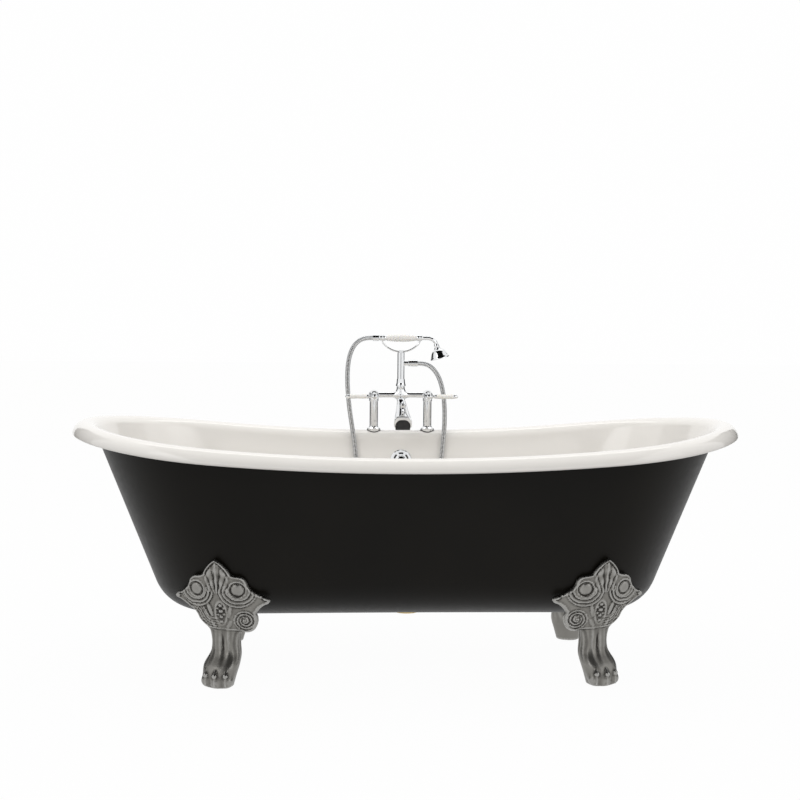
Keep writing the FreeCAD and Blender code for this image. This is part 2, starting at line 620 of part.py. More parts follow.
def mixer_leg():
    """A pipe from the crossbar through the rim, with a flange above the roll and a thread below."""
    foot = LEG_CROWN + 4
    leg = turned([
        (0, SHANK_BOTTOM), (SHANK_RADIUS, SHANK_BOTTOM), (SHANK_RADIUS, BACKNUT_BOTTOM - 1),
        (UPPER_SHANK_RADIUS, BACKNUT_BOTTOM - 1), (UPPER_SHANK_RADIUS, foot - 9), (LEG_FLANGE_RADIUS, foot - 9),
        (LEG_FLANGE_RADIUS, foot + 1), (LEG_RADIUS + 2, foot + 5), (LEG_RADIUS, foot + 8),
        (LEG_RADIUS, BAR_HEIGHT - BALL_RADIUS + 4), (0, BAR_HEIGHT - BALL_RADIUS + 4)],
        Vector(LEG_X, RIM_Y, 0), Z_AXIS)
    seat = roll_room(ROLL_RADIUS + 2.5)
    above = cylinder(Vector(LEG_X, RIM_Y, SHANK_BOTTOM), Z_AXIS, UPPER_SHANK_RADIUS, 200)
    leg = leg.cut(seat.cut(above))
    return leg.cut(cylinder(Vector(LEG_X, RIM_Y, SHANK_BOTTOM - 1), Z_AXIS, LEG_BORE, 300))


def mixer_fixings():
    """What holds one leg on the rim: a shaped washer, and a saddle with its backnut under the crown."""
    hole = cylinder(Vector(LEG_X, RIM_Y, 400), Z_AXIS, UPPER_SHANK_RADIUS + 0.2, 250)
    disc = cylinder(Vector(LEG_X, RIM_Y, LEG_CROWN - 8), Z_AXIS, LEG_FLANGE_RADIUS, 14)
    washer = disc.common(roll_room(ROLL_RADIUS + 2.4)).cut(roll_room(ROLL_RADIUS + 0.3)).cut(hole)
    half_strip = math.radians((90.0 - SIDE_LEAN) / ROLL_INNER_STEPS / 2)
    under = (ROLL_RADIUS - SHELL_THICKNESS) * math.cos(half_strip)
    middle = LEG_CROWN - ROLL_RADIUS
    saddle = cylinder(Vector(LEG_X, RIM_Y, middle + 5), Z_AXIS, LEG_FLANGE_RADIUS, 30)
    saddle = saddle.common(roll_room(under - FACE_GAP)).cut(hole)
    nut = hexagon(Vector(LEG_X, RIM_Y, BACKNUT_BOTTOM), Z_AXIS, 33.0, middle + 5 - BACKNUT_BOTTOM).cut(
        cylinder(Vector(LEG_X, RIM_Y, 400), Z_AXIS, UPPER_SHANK_RADIUS, 250))
    return washer, saddle, nut


def mixer_body():
    """Crossbar, four-way hub and the two valve housings, in one casting."""
    swell = [
        (BAR_RADIUS, -LEG_X), (BAR_RADIUS, -40), (9.5, -26), (HUB_RADIUS - 1, -12), (HUB_RADIUS, 0),
        (HUB_RADIUS - 1, 12), (9.5, 26), (BAR_RADIUS, 40), (BAR_RADIUS, LEG_X)]
    bar = turned_curve(swell, Vector(0, RIM_Y, BAR_HEIGHT), X_AXIS)
    collar_bottom = BAR_HEIGHT - COLLAR_DROP
    post = turned([
        (0, collar_bottom), (COLLAR_RADIUS, collar_bottom), (COLLAR_RADIUS, collar_bottom + 9), (11, BAR_HEIGHT - 16),
        (HUB_RADIUS, BAR_HEIGHT), (11.5, BAR_HEIGHT + 15), (12.5, RISER_BOTTOM), (0, RISER_BOTTOM)],
        Vector(0, RIM_Y, 0), Z_AXIS)
    body = bar.fuse(post)
    for side in (-1, 1):
        middle = Vector(side * LEG_X, RIM_Y, BAR_HEIGHT)
        ball = Part.makeSphere(BALL_RADIUS, middle)
        neck = turned([
            (0, 0), (11.5, 0), (11.5, VALVE_REACH - 12), (10.0, VALVE_REACH - 10), (0, VALVE_REACH - 10)],
            middle, Y_AXIS * -1)
        foot = cylinder(middle + Vector(0, 0, -BALL_RADIUS - 3), Z_AXIS, LEG_RADIUS + 1.5, 9)
        body = body.fuse(ball).fuse(neck).fuse(foot)
        socket = cylinder(Vector(side * LEG_X, RIM_Y, 0), Z_AXIS, LEG_RADIUS, BAR_HEIGHT - BALL_RADIUS + 4)
        water = cylinder(Vector(side * LEG_X, RIM_Y, 0), Z_AXIS, LEG_BORE, BAR_HEIGHT)
        seat = cylinder(middle, Y_AXIS * -1, CARTRIDGE_RADIUS, 60)
        body = body.cut(socket).cut(water).cut(seat)
    return body


def valve_pieces():
    """One valve: cartridge in its seat, and the bonnet that screws over it."""
    length = VALVE_REACH - 2
    cartridge = cylinder(VALVE, Y_AXIS * -1, CARTRIDGE_RADIUS, length)
    cartridge = cartridge.cut(cylinder(VALVE + Y_AXIS * -(length - 10), Y_AXIS * -1, SPINDLE_RADIUS + RUNNING_GAP, 30))
    bonnet = turned([
        (SPINDLE_RADIUS + 0.5, 0), (CARTRIDGE_RADIUS + 0.1, 0), (CARTRIDGE_RADIUS + 0.1, -8), (12.5, -8), (12.5, -1),
        (10, 2), (SPINDLE_RADIUS + 0.5, 2)], VALVE + Y_AXIS * -length, Y_AXIS * -1)
    return cartridge, bonnet


def lever_pieces():
    """The right lever: hub with its spindle and arm, porcelain grip, and end cap."""
    back = VALVE + Y_AXIS * -(VALVE_REACH + FACE_GAP)
    front = LEVER_HUB_LENGTH
    hub = turned([
        (0, -9), (SPINDLE_RADIUS, -9), (SPINDLE_RADIUS, 0), (LEVER_HUB_RADIUS - 1, 0), (LEVER_HUB_RADIUS, 2),
        (LEVER_HUB_RADIUS, front - 8), (7, front - 2), (0, front)], back, Y_AXIS * -1)
    axis = back + Y_AXIS * (12 - front)
    end = LEVER_REACH - 10
    arm = turned([
        (0, 5), (5, 5), (4.2, 14), (6.2, GRIP_START - 4), (6.2, GRIP_START), (GRIP_ROD_RADIUS, GRIP_START),
        (GRIP_ROD_RADIUS, end + 4), (0, end + 4)], axis, X_AXIS)
    lever = hub.fuse(arm)
    bore = GRIP_ROD_RADIUS + RUNNING_GAP
    grip = turned([
        (bore, GRIP_START), (GRIP_RADIUS - 1, GRIP_START), (GRIP_RADIUS, GRIP_START + 8),
        (GRIP_RADIUS - 0.7, GRIP_START + GRIP_LENGTH / 2), (GRIP_RADIUS, GRIP_START + GRIP_LENGTH - 6),
        (GRIP_RADIUS - 1, GRIP_START + GRIP_LENGTH), (bore, GRIP_START + GRIP_LENGTH)], axis, X_AXIS)
    start = GRIP_START + GRIP_LENGTH
    cap = turned([
        (0, start + 6), (GRIP_ROD_RADIUS, start + 6), (GRIP_ROD_RADIUS, start), (6.2, start), (6.2, start + 3),
        (4.6, LEVER_REACH - 2), (0, LEVER_REACH)], axis, X_AXIS)
    return lever, grip, cap


def spout_section(y, low, high, width):
    """An upright section of the spout: a rectangle across X with rounded corners."""
    round_by = min(width, high - low) * SPOUT_ROUNDING
    reach = width / 2 - round_by
    turn = round_by * math.sqrt(0.5)
    edges = []
    for side_x, side_z, z in ((1, -1, low + round_by), (1, 1, high - round_by), (-1, 1, high - round_by),
                              (-1, -1, low + round_by)):
        beside = Vector(side_x * (reach + round_by), y, z)
        over = Vector(side_x * reach, y, z + side_z * round_by)
        between = Vector(side_x * (reach + turn), y, z + side_z * turn)
        edges.append(Part.Arc(beside, between, over).toShape())
    edges.append(Part.makeLine(Vector(reach, y, high), Vector(-reach, y, high)))
    edges.append(Part.makeLine(Vector(-reach, y, low), Vector(reach, y, low)))
    edges.append(Part.makeLine(Vector(width / 2, y, low + round_by), Vector(width / 2, y, high - round_by)))
    edges.append(Part.makeLine(Vector(-width / 2, y, low + round_by), Vector(-width / 2, y, high - round_by)))
    return Part.Wire(Part.sortEdges(edges)[0])


OUTLET_Y = RIM_Y - SPOUT_REACH + OUTLET_INSET
SPOUT_NOSE_TOP = BAR_HEIGHT - SPOUT_NOSE_DROP
SPOUT_NOSE_BOTTOM = SPOUT_NOSE_TOP - SPOUT_NOSE_DEPTH
SPOUT_ROOF = SPOUT_NOSE_TOP + 7.4               # top of the spout over the outlet


def spout():
    """A spout that widens from the hub forwards and down to an upright nose, with its outlet below."""
    stretches = [                               # forwards, low and high from the crossbar, and width
        (HUB_RADIUS - 2, -33, -7, 24), (37, -41, -12, 27), (67, -57, -22, 33), (97, -75, -36, 42),
        (SPOUT_REACH, SPOUT_NOSE_BOTTOM - BAR_HEIGHT, SPOUT_NOSE_TOP - BAR_HEIGHT, SPOUT_NOSE_WIDTH)]
    sections = [spout_section(RIM_Y - forwards, BAR_HEIGHT + low, BAR_HEIGHT + high, width)
                for forwards, low, high, width in stretches]
    body = Part.makeLoft(sections, True, True)
    outlet = Vector(0, OUTLET_Y, SPOUT_NOSE_BOTTOM - 20)
    body = body.cut(cylinder(outlet, Z_AXIS, OUTLET_RADIUS, 20 + OUTLET_DEPTH))
    return body.cut(cylinder(outlet, Z_AXIS, KNOB_ROD_RADIUS + RUNNING_GAP, 120))


def diverter_knob():
    """A pull knob on a rod through the spout, with its plunger in the outlet."""
    base = SPOUT_ROOF + 3.6
    top = base + KNOB_HEIGHT
    plunger = SPOUT_NOSE_BOTTOM + 12
    return turned([
        (0, plunger), (OUTLET_RADIUS - 2, plunger), (OUTLET_RADIUS - 2, plunger + 3), (KNOB_ROD_RADIUS, plunger + 3),
        (KNOB_ROD_RADIUS, base), (5.0, base + 2), (4.0, top - 14), (7.5, top - 10), (8.0, top - 4), (5.5, top),
        (0, top)], Vector(0, OUTLET_Y, 0), Z_AXIS)


def riser():
    pipe = turned([
        (6.5, RISER_BOTTOM), (RISER_RADIUS, RISER_BOTTOM), (RISER_RADIUS, RISER_TOP), (6.5, RISER_TOP - 12)],
        Vector(0, RIM_Y, 0), Z_AXIS)
    branch = turned([
        (0, 0), (7.5, 0), (7.5, 20), (9.5, 21), (9.5, BRANCH_REACH), (0, BRANCH_REACH)],
        Vector(0, RIM_Y, BRANCH_HEIGHT), X_AXIS)
    body = pipe.fuse(cylinder(Vector(0, RIM_Y, RISER_TOP - 12), Z_AXIS, RISER_RADIUS, 12)).fuse(branch)
    body = body.cut(cylinder(Vector(0, RIM_Y, BRANCH_HEIGHT), X_AXIS, HOSE_BORE, 60))
    return body


def riser_collar():
    return turned([
        (RISER_RADIUS, 2), (14.0, 2), (14.0, 7), (12.5, 11), (11.5, 22), (RISER_RADIUS, 22)],
        Vector(0, RIM_Y, RISER_BOTTOM), Z_AXIS)


# ================================================================ cradle, hand shower and hose
def cradle():
    """A crescent of rod on top of the riser, with a fork at each end that the hand shower lies in."""
    low = Vector(0, RIM_Y, RISER_TOP + CRADLE_ROD)
    fork_radius = HANDSET_COLLAR_RADIUS + FACE_GAP + CRADLE_ROD
    tips = [Vector(side * FORK_SPREAD, RIM_Y, HANDSET_HEIGHT - fork_radius) for side in (-1, 1)]
    crescent = round_sweep(Part.Wire([Part.Arc(tips[0], low, tips[1]).toShape()]), CRADLE_ROD)
    body = crescent.fuse(cylinder(Vector(0, RIM_Y, RISER_TOP), Z_AXIS, 6.5, 7))
    for side in (-1, 1):
        middle = Vector(side * FORK_SPREAD, RIM_Y, HANDSET_HEIGHT)
        across = Vector(0, fork_radius, 0)
        bottom = Vector(0, 0, -fork_radius)
        rise = Vector(0, 0, 5)
        path = Part.Wire([
            Part.makeLine(middle + across + rise, middle + across),
            Part.Arc(middle + across, middle + bottom, middle - across).toShape(),
            Part.makeLine(middle - across, middle - across + rise)])
        body = body.fuse(round_sweep(path, CRADLE_ROD))
    return body


def on_handset(along):
    return Vector(along, RIM_Y, HANDSET_HEIGHT)


def handset():
    """The nodes of the hand shower, which lies along X with its rose at the right."""
    grip = turned_curve([
        (HANDSET_NECK_RADIUS, -GRIP_HALF_LENGTH), (9.6, -24), (HANDSET_GRIP_RADIUS, 0), (9.6, 24),
        (HANDSET_NECK_RADIUS, GRIP_HALF_LENGTH)], on_handset(0), X_AXIS)
    tail = turned([
        (0, -HANDSET_TAIL_LENGTH), (7.0, -HANDSET_TAIL_LENGTH), (HANDSET_COLLAR_RADIUS, 3.5 - HANDSET_TAIL_LENGTH),
        (HANDSET_COLLAR_RADIUS, -46), (7.6, -GRIP_HALF_LENGTH), (0, -GRIP_HALF_LENGTH)], on_handset(0), X_AXIS)
    tail = tail.cut(cylinder(on_handset(-80), X_AXIS, HOSE_BORE, 30))
    tilt = math.radians(ROSE_TILT)
    start = on_handset(82)
    bend_centre = start + Vector(0, 0, -ROSE_BEND)
    turn = math.pi / 2 - tilt
    finish = bend_centre + Vector(math.sin(turn), 0, math.cos(turn)) * ROSE_BEND
    halfway = bend_centre + Vector(math.sin(turn / 2), 0, math.cos(turn / 2)) * ROSE_BEND
    spray = Vector(math.sin(tilt), 0, -math.cos(tilt))
    joint = finish + spray * 15
    neck_path = Part.Wire([
        Part.makeLine(on_handset(60), start), Part.Arc(start, halfway, finish).toShape(), Part.makeLine(finish, joint)])
    neck = round_sweep(neck_path, HANDSET_NECK_RADIUS)
    collar = turned([
        (0, GRIP_HALF_LENGTH), (7.6, GRIP_HALF_LENGTH), (HANDSET_COLLAR_RADIUS, 46), (HANDSET_COLLAR_RADIUS, 59),
        (HANDSET_NECK_RADIUS, 61), (0, 61)], on_handset(0), X_AXIS)
    neck = neck.fuse(collar)
    bell = turned([
        (0, 0), (9, 0), (9, 4), (11, 12), (17, 20), (25, 26), (ROSE_RADIUS, 28), (ROSE_RADIUS, ROSE_DEPTH),
        (ROSE_RADIUS - 2, ROSE_DEPTH), (ROSE_RADIUS - 2, 28.5), (15, 21.5), (0, 20)], joint, spray)
    plate = turned([
        (0, 28.5), (ROSE_RADIUS - 2.05, 28.5), (ROSE_RADIUS - 2.05, ROSE_DEPTH - 0.5), (0, ROSE_DEPTH + 1)],
        joint, spray)
    export("handset_grip", grip)
    export("handset_tail", tail)
    export("handset_neck", neck)
    export("rose_bell", bell)
    export("rose_face", plate)


def hose_wire():
    """The hose's middle line: straight runs joined by tangent arcs, each as large as its runs allow."""
    points = [Vector(*point) for point in HOSE_ROUTE]
    runs = [(b - a).Length for a, b in zip(points, points[1:])]
    edges = []
    start = points[0]
    for i in range(1, len(points) - 1):
        before = (points[i] - points[i - 1]).normalize()
        after = (points[i + 1] - points[i]).normalize()
        half = before.getAngle(after) / 2
        trim = 0.45 * min(runs[i - 1], runs[i])
        radius = trim / math.tan(half)
        enter = points[i] - before * trim
        leave = points[i] + after * trim
        inward = (after - before).normalize()
        middle = points[i] + inward * (radius / math.cos(half) - radius)
        edges.append(Part.makeLine(start, enter))
        edges.append(Part.Arc(enter, middle, leave).toShape())
        start = leave
        print("hose bend radius", round(radius, 1))
    edges.append(Part.makeLine(start, points[-1]))
    return Part.Wire(edges)


def hose_pieces():
    path = hose_wire()
    outside = round_sweep(path, HOSE_RADIUS)
    hose = outside.cut(round_sweep(path, HOSE_BORE))
    area = math.pi * (HOSE_RADIUS ** 2 - HOSE_BORE ** 2)
    print("hose length", round(path.Length, 1), "volume over section times length", hose.Volume / area / path.Length)
    export("shower_hose", hose)
    first = Vector(*HOSE_ROUTE[0])
    last = Vector(*HOSE_ROUTE[-1])
    branch = Vector(BRANCH_REACH, RIM_Y, BRANCH_HEIGHT)
    riser_nut = tube(branch, X_AXIS, 10.0, HOSE_BORE, first.x - BRANCH_REACH)
    nut_length = -HANDSET_TAIL_LENGTH - last.x
    handset_nut = tube(on_handset(-HANDSET_TAIL_LENGTH - nut_length), X_AXIS, 9.5, HOSE_BORE, nut_length)
    export("hose_nut_riser", riser_nut)
    export("hose_nut_handset", handset_nut)


# ================================================================ assembly
def with_tub_holes(layer):
    """A layer of the tub, with the waste's hole, the overflow's and the two for the mixer's legs."""
    layer = layer.cut(cylinder(Vector(0, 0, 100), Z_AXIS, WASTE_HOLE, 100))
    layer = layer.cut(cylinder(on_wall(20), INTO_TUB * -1, OVERFLOW_NECK_RADIUS + 1, 60))
    for side in (-1, 1):
        hole = cylinder(Vector(side * LEG_X, RIM_Y, LEG_CROWN - 20), Z_AXIS, SHANK_RADIUS + HOLE_GAP, 60)
        layer = layer.cut(hole)
    return layer


def tub_casting():
    tub = shell_layer(ENAMEL_THICKNESS, SHELL_THICKNESS)
    inside = filled_tub(ENAMEL_THICKNESS + IRON_THICKNESS / 2)
    pad = cylinder(Vector(FOOT_BOLT.x, FOOT_BOLT.y, SHELF_TOP), Z_AXIS, FOOT_BOSS_RADIUS, IRON_THICKNESS + 30)
    for boss in four_ways(pad.cut(inside)):
        tub = tub.fuse(boss)
    return with_tub_holes(tub)


def main():
    export("tub_casting", tub_casting())
    export("enamel_lining", with_tub_holes(shell_layer(0.0, ENAMEL_THICKNESS)))
    foot = front_right_foot()
    feet = four_ways(foot)
    for name, piece in zip(("front_right", "front_left", "back_right", "back_left"), feet):
        export("foot_" + name, piece)
    foot_fixings()
    branch = overflow_set()
    waste_set(branch)

    leg = mixer_leg()
    export("mixer_leg_right", leg)
    export("mixer_leg_left", mirrored_x(leg))
    washer, saddle, nut = mixer_fixings()
    export("leg_washers", Part.makeCompound([washer, mirrored_x(washer)]))
    export("leg_saddles", Part.makeCompound([saddle, mirrored_x(saddle)]))
    export("leg_backnuts", Part.makeCompound([nut, mirrored_x(nut)]))
    body = mixer_body()
    export("mixer_body", body)
    cartridge, bonnet = valve_pieces()
    for side, shape_of in (("right", lambda shape: shape), ("left", mirrored_x)):
        export("valve_cartridge_" + side, shape_of(cartridge))
        export("valve_bonnet_" + side, shape_of(bonnet))
        for name, piece in zip(("lever", "lever_grip", "lever_cap"), lever_pieces()):
            export(name + "_" + side, shape_of(piece))
    export("spout", spout().cut(body))
    export("diverter_knob", diverter_knob())
    export("riser", riser())
    export("riser_collar", riser_collar())
    export("cradle", cradle())
    handset()
    hose_pieces()


main()
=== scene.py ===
"""Looks of the clawfoot bathtub: metres, +Z up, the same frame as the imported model.

The tub stands with its front towards -Y. The mixer is on the back rim at +Y.
"""
import json
import math

import bmesh
import bpy
import numpy as np
from mathutils import Matrix, Vector


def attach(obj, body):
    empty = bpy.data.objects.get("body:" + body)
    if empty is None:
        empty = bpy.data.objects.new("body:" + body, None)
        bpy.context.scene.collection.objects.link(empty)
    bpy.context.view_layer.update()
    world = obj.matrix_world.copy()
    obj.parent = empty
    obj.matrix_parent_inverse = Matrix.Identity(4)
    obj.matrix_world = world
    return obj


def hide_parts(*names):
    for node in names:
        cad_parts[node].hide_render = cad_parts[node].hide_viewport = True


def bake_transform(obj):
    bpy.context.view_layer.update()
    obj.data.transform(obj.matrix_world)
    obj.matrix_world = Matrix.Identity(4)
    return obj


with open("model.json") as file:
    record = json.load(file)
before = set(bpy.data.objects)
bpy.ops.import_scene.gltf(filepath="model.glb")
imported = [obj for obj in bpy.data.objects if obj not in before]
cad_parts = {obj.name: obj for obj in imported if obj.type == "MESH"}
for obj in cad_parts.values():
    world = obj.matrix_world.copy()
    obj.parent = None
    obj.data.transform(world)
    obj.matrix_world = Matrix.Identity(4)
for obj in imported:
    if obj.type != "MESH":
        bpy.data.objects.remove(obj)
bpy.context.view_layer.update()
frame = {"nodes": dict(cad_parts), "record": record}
NODES = frame["nodes"]
MM = 0.001
UP = (0, 0, 1)

# ================================================================ sizes
# Millimetres and degrees, as in the part's source.
TUB_LENGTH = 1700.0
TUB_WIDTH = 740.0
RIM_HEIGHT = 568.5
RIM_RISE = 60.5
UNDERSIDE_HEIGHT = 151.0
ROLL_RADIUS = 33.0
ROLL_END = 8.0
END_LEAN = 21.5
SIDE_LEAN = 13.0
END_CORNER = 110.0
SIDE_CORNER = 160.0
ENAMEL = 1.5
SHELL = 8.5
WASTE_HOLE = 25.0
OVERFLOW_HOLE = 21.0
OVERFLOW_HEIGHT = 489.0
FOOT_X = 470.0
FOOT_Y = 248.0
FOOT_TURN = 18.0
FOOT_BOLT = 95.0
BOSS_RADIUS = 16.0
LEG_X = 75.0
LEG_HOLE = 14.7
BAR_HEIGHT = 667.0
HANDSET_HEIGHT = 826.0

# Points of the hose's route, from the riser's branch down into the tub and up to the hand shower.
HOSE_ROUTE = [
    (46, 337, 755.5), (64, 337, 755.5), (82.5, 336, 748), (99, 333, 730.5), (111, 328, 705), (119, 320, 669),
    (122, 311, 620), (120, 300, 570), (114, 289, 515), (107, 275, 455), (98, 260, 392), (80, 245, 333),
    (45, 233, 288), (-10, 227, 268), (-62, 233, 288), (-97, 245, 333), (-114, 260, 392), (-121, 275, 455),
    (-127, 289, 515), (-134, 300, 570), (-143, 311, 625), (-149, 320, 685), (-149.5, 328, 738),
    (-144, 333, 775), (-133.8, 336, 801), (-119, 337, 817.5), (-99, 337, 826), (-79, 337, 826),
]
HOSE_RADIUS = 7.0


# ================================================================ camera, floor and light
# The camera's place in metres, its turns in degrees and its lens are fitted to points of the photo.
CAMERA_PLACE = (-0.22904, -3.83309, 0.98825)
CAMERA_YAW, CAMERA_PITCH, CAMERA_ROLL = -3.12, 4.593, 0.463
CAMERA_LENS = 67.42
LIT_POINT = (0, 0, 0.3)
FLOOR_HALF = 14.0
FLOOR_GLOW = 1.02
FLOOR_GLOW_SHARE = 0.95


def new_object(name, data):
    """An object in the scene around its data."""
    thing = bpy.data.objects.new(name, data)
    bpy.context.scene.collection.objects.link(thing)
    return thing


def make_camera():
    """The camera of the photo."""
    data = bpy.data.cameras.new("camera")
    data.lens = CAMERA_LENS
    data.sensor_width = 36.0
    data.sensor_fit = "HORIZONTAL"
    data.clip_end = 60.0
    camera = new_object("camera", data)
    yaw, pitch, roll = (math.radians(turn) for turn in (CAMERA_YAW, CAMERA_PITCH, CAMERA_ROLL))
    camera.matrix_world = (
        Matrix.Translation(CAMERA_PLACE) @ Matrix.Rotation(yaw, 4, "Z")
        @ Matrix.Rotation(math.pi / 2 - pitch, 4, "X") @ Matrix.Rotation(roll, 4, "Z"))
    bpy.context.scene.camera = camera


def area_light(name, place, size, power):
    """A rectangular lamp that is turned to the tub."""
    data = bpy.data.lights.new(name, "AREA")
    data.shape = "RECTANGLE"
    data.size, data.size_y = size
    data.energy = power
    lamp = new_object(name, data)
    lamp.location = place
    lamp.rotation_euler = (Vector(LIT_POINT) - Vector(place)).to_track_quat("-Z", "Y").to_euler()


def seen_directly(nodes, links):
    """1 for the rays of the camera and of reflections, 0 for the rays that only carry light."""
    path = nodes.new("ShaderNodeLightPath")
    either = nodes.new("ShaderNodeMath")
    either.operation = "MAXIMUM"
    links.new(path.outputs["Is Camera Ray"], either.inputs[0])
    links.new(path.outputs["Is Glossy Ray"], either.inputs[1])
    return either.outputs[0]


def mixed(nodes, links, share, first, second):
    """A shader between the first, where the share is 0, and the second, where it is 1."""
    mix = nodes.new("ShaderNodeMixShader")
    for socket, source in enumerate((share, first, second)):
        links.new(source, mix.inputs[socket])
    return mix.outputs[0]


def make_world():
    """A plain grey world for light, which the camera and polished metal see as near white."""
    world = bpy.data.worlds.new("studio")
    bpy.context.scene.world = world
    world.use_nodes = True
    nodes, links = world.node_tree.nodes, world.node_tree.links
    nodes.clear()
    shades = []
    for color, strength in (((1.0, 0.99, 0.98, 1.0), 0.80), ((0.995, 0.995, 0.995, 1.0), 1.0)):
        shade = nodes.new("ShaderNodeBackground")
        shade.inputs["Color"].default_value = color
        shade.inputs["Strength"].default_value = strength
        shades.append(shade.outputs[0])
    out = nodes.new("ShaderNodeOutputWorld")
    links.new(mixed(nodes, links, seen_directly(nodes, links), *shades), out.inputs[0])


def new_plane(name, corners):
    """A plane between four corners."""
    mesh = bpy.data.meshes.new(name)
    mesh.from_pydata(corners, [], [(0, 1, 2, 3)])
    return new_object(name, mesh)


def make_floor():
    """A pale floor: the camera and polished metal see it near white, with a soft shadow."""
    half = FLOOR_HALF
    floor = new_plane("floor", [(-half, -half, 0), (half, -half, 0), (half, half, 0), (-half, half, 0)])
    material, nodes, links, shader = new_material("floor", (0.45, 0.45, 0.448), 0.7, specular=0.1)
    glow = nodes.new("ShaderNodeEmission")
    glow.inputs["Color"].default_value = (1.0, 1.0, 1.0, 1.0)
    glow.inputs["Strength"].default_value = FLOOR_GLOW
    share = nodes.new("ShaderNodeMath")
    share.operation = "MULTIPLY"
    share.inputs[1].default_value = FLOOR_GLOW_SHARE
    links.new(seen_directly(nodes, links), share.inputs[0])
    surface = mixed(nodes, links, share.outputs[0], shader.outputs[0], glow.outputs[0])
    links.new(surface, nodes["Material Output"].inputs["Surface"])
    floor.data.materials.append(material)


def dark_panel(name, corners):
    """A dark panel that only reflections show: polished metal has its dark lines from it."""
    panel = new_plane(name, corners)
    panel.visible_camera = False
    panel.visible_diffuse = False
    panel.visible_shadow = False
    panel.data.materials.append(new_material(name, (0.01, 0.01, 0.01), 1.0, specular=0.0)[0])


# ================================================================ materials
def new_material(name, color, rough, metal=0.0, coat=0.0, specular=0.5):
    """A material, its nodes, its links and its shader."""
    material = bpy.data.materials.new(name)
    material.use_nodes = True
    shader = material.node_tree.nodes["Principled BSDF"]
    shader.inputs["Base Color"].default_value = (*color, 1.0)
    shader.inputs["Roughness"].default_value = rough
    shader.inputs["Metallic"].default_value = metal
    shader.inputs["Coat Weight"].default_value = coat
    shader.inputs["Coat Roughness"].default_value = 0.05
    shader.inputs["Specular IOR Level"].default_value = specular
    return material, material.node_tree.nodes, material.node_tree.links, shader


def noise(nodes, links, scale, detail=3.0):
    """Noise in the object's own coordinates."""
    coords = nodes.new("ShaderNodeTexCoord")
    texture = nodes.new("ShaderNodeTexNoise")
    texture.inputs["Scale"].default_value = scale
    texture.inputs["Detail"].default_value = detail
    links.new(coords.outputs["Object"], texture.inputs["Vector"])
    return texture.outputs["Fac"]


def cavity_shade_value(nodes):
    """The mesh's cavity value, from 0 on its ridges to 1 in its recesses, which colours follow as painted
    highlight and shade.
    """
    cavity = nodes.new("ShaderNodeAttribute")
    cavity.attribute_name = "cavity"
    return cavity.outputs["Fac"]


def tint(nodes, links, shader, source, *stops):
    """Colours the shader by a value from 0 to 1. Each stop is a position with its colour."""
    node = nodes.new("ShaderNodeValToRGB")
    elements = node.color_ramp.elements
    elements[0].position, elements[1].position = stops[0][0], stops[-1][0]
    for position, _ in stops[1:-1]:
        elements.new(position)
    for element, (_, color) in zip(elements, stops):
        element.color = (*color, 1.0)
    links.new(source, node.inputs[0])
    links.new(node.outputs[0], shader.inputs["Base Color"])


def roughen(nodes, links, shader, source, low, high):
    """Lets the shader's roughness follow a value from 0 to 1."""
    node = nodes.new("ShaderNodeMapRange")
    node.inputs["To Min"].default_value = low
    node.inputs["To Max"].default_value = high
    links.new(source, node.inputs["Value"])
    links.new(node.outputs[0], shader.inputs["Roughness"])


def bump(nodes, links, shader, height, strength, distance):
    """Gives the shader a fine relief."""
    node = nodes.new("ShaderNodeBump")
    node.inputs["Strength"].default_value = strength
    node.inputs["Distance"].default_value = distance
    links.new(height, node.inputs["Height"])
    links.new(node.outputs[0], shader.inputs["Normal"])


def enamel_material():
    """White vitreous enamel, a little warm and not quite even."""
    material, nodes, links, shader = new_material("enamel", (0.80, 0.78, 0.745), 0.12, coat=0.35)
    tint(nodes, links, shader, noise(nodes, links, 2.2),
         (0.3, (0.79, 0.77, 0.735)), (0.7, (0.82, 0.80, 0.77)))
    roughen(nodes, links, shader, noise(nodes, links, 9.0), 0.08, 0.18)
    bump(nodes, links, shader, noise(nodes, links, 26.0, 2.0), 0.05, 0.002)
    return material


def black_material():
    """Black paint with a low sheen on cast iron."""
    material, nodes, links, shader = new_material("black_paint", (0.006, 0.0055, 0.005), 0.38, specular=0.12)
    tint(nodes, links, shader, noise(nodes, links, 3.0),
         (0.3, (0.0045, 0.0040, 0.0030)), (0.7, (0.0080, 0.0068, 0.0050)))
    roughen(nodes, links, shader, noise(nodes, links, 60.0), 0.34, 0.46)
    bump(nodes, links, shader, noise(nodes, links, 240.0, 4.0), 0.12, 0.0006)
    return material


def pewter_material():
    """Polished casting, with painted highlights on its ridges and painted shade in its recesses, where it is
    also duller.
    """
    material, nodes, links, shader = new_material("pewter", (0.36, 0.35, 0.34), 0.3, metal=1.0)
    cavity = cavity_shade_value(nodes)
    # painted highlight and shade: bright colour on the ridges, dark colour in the recesses
    tint(nodes, links, shader, cavity,
         (0.06, (0.34, 0.335, 0.32)), (0.40, (0.215, 0.208, 0.192)), (0.94, (0.040, 0.037, 0.034)))
    roughen(nodes, links, shader, cavity, 0.27, 0.56)
    bump(nodes, links, shader, noise(nodes, links, 330.0, 5.0), 0.25, 0.0008)
    return material


def metal_material(name, color, rough, strength=0.03):
    """Metal with a fine grain."""
    material, nodes, links, shader = new_material(name, color, rough, metal=1.0)
    roughen(nodes, links, shader, noise(nodes, links, 400.0), rough * 0.7, rough * 1.4)
    bump(nodes, links, shader, noise(nodes, links, 200.0), strength, 0.0003)
    return material


def hose_material():
    """Metal hose: bright on its ribs, with painted shade in the grooves between them."""
    material, nodes, links, shader = new_material("hose_metal", (0.72, 0.73, 0.74), 0.16, metal=1.0)
    # painted shade: dark colour in the grooves between the ribs
    tint(nodes, links, shader, cavity_shade_value(nodes), (0.2, (0.74, 0.75, 0.76)), (0.9, (0.06, 0.06, 0.06)))
    roughen(nodes, links, shader, noise(nodes, links, 300.0), 0.10, 0.22)
    return material


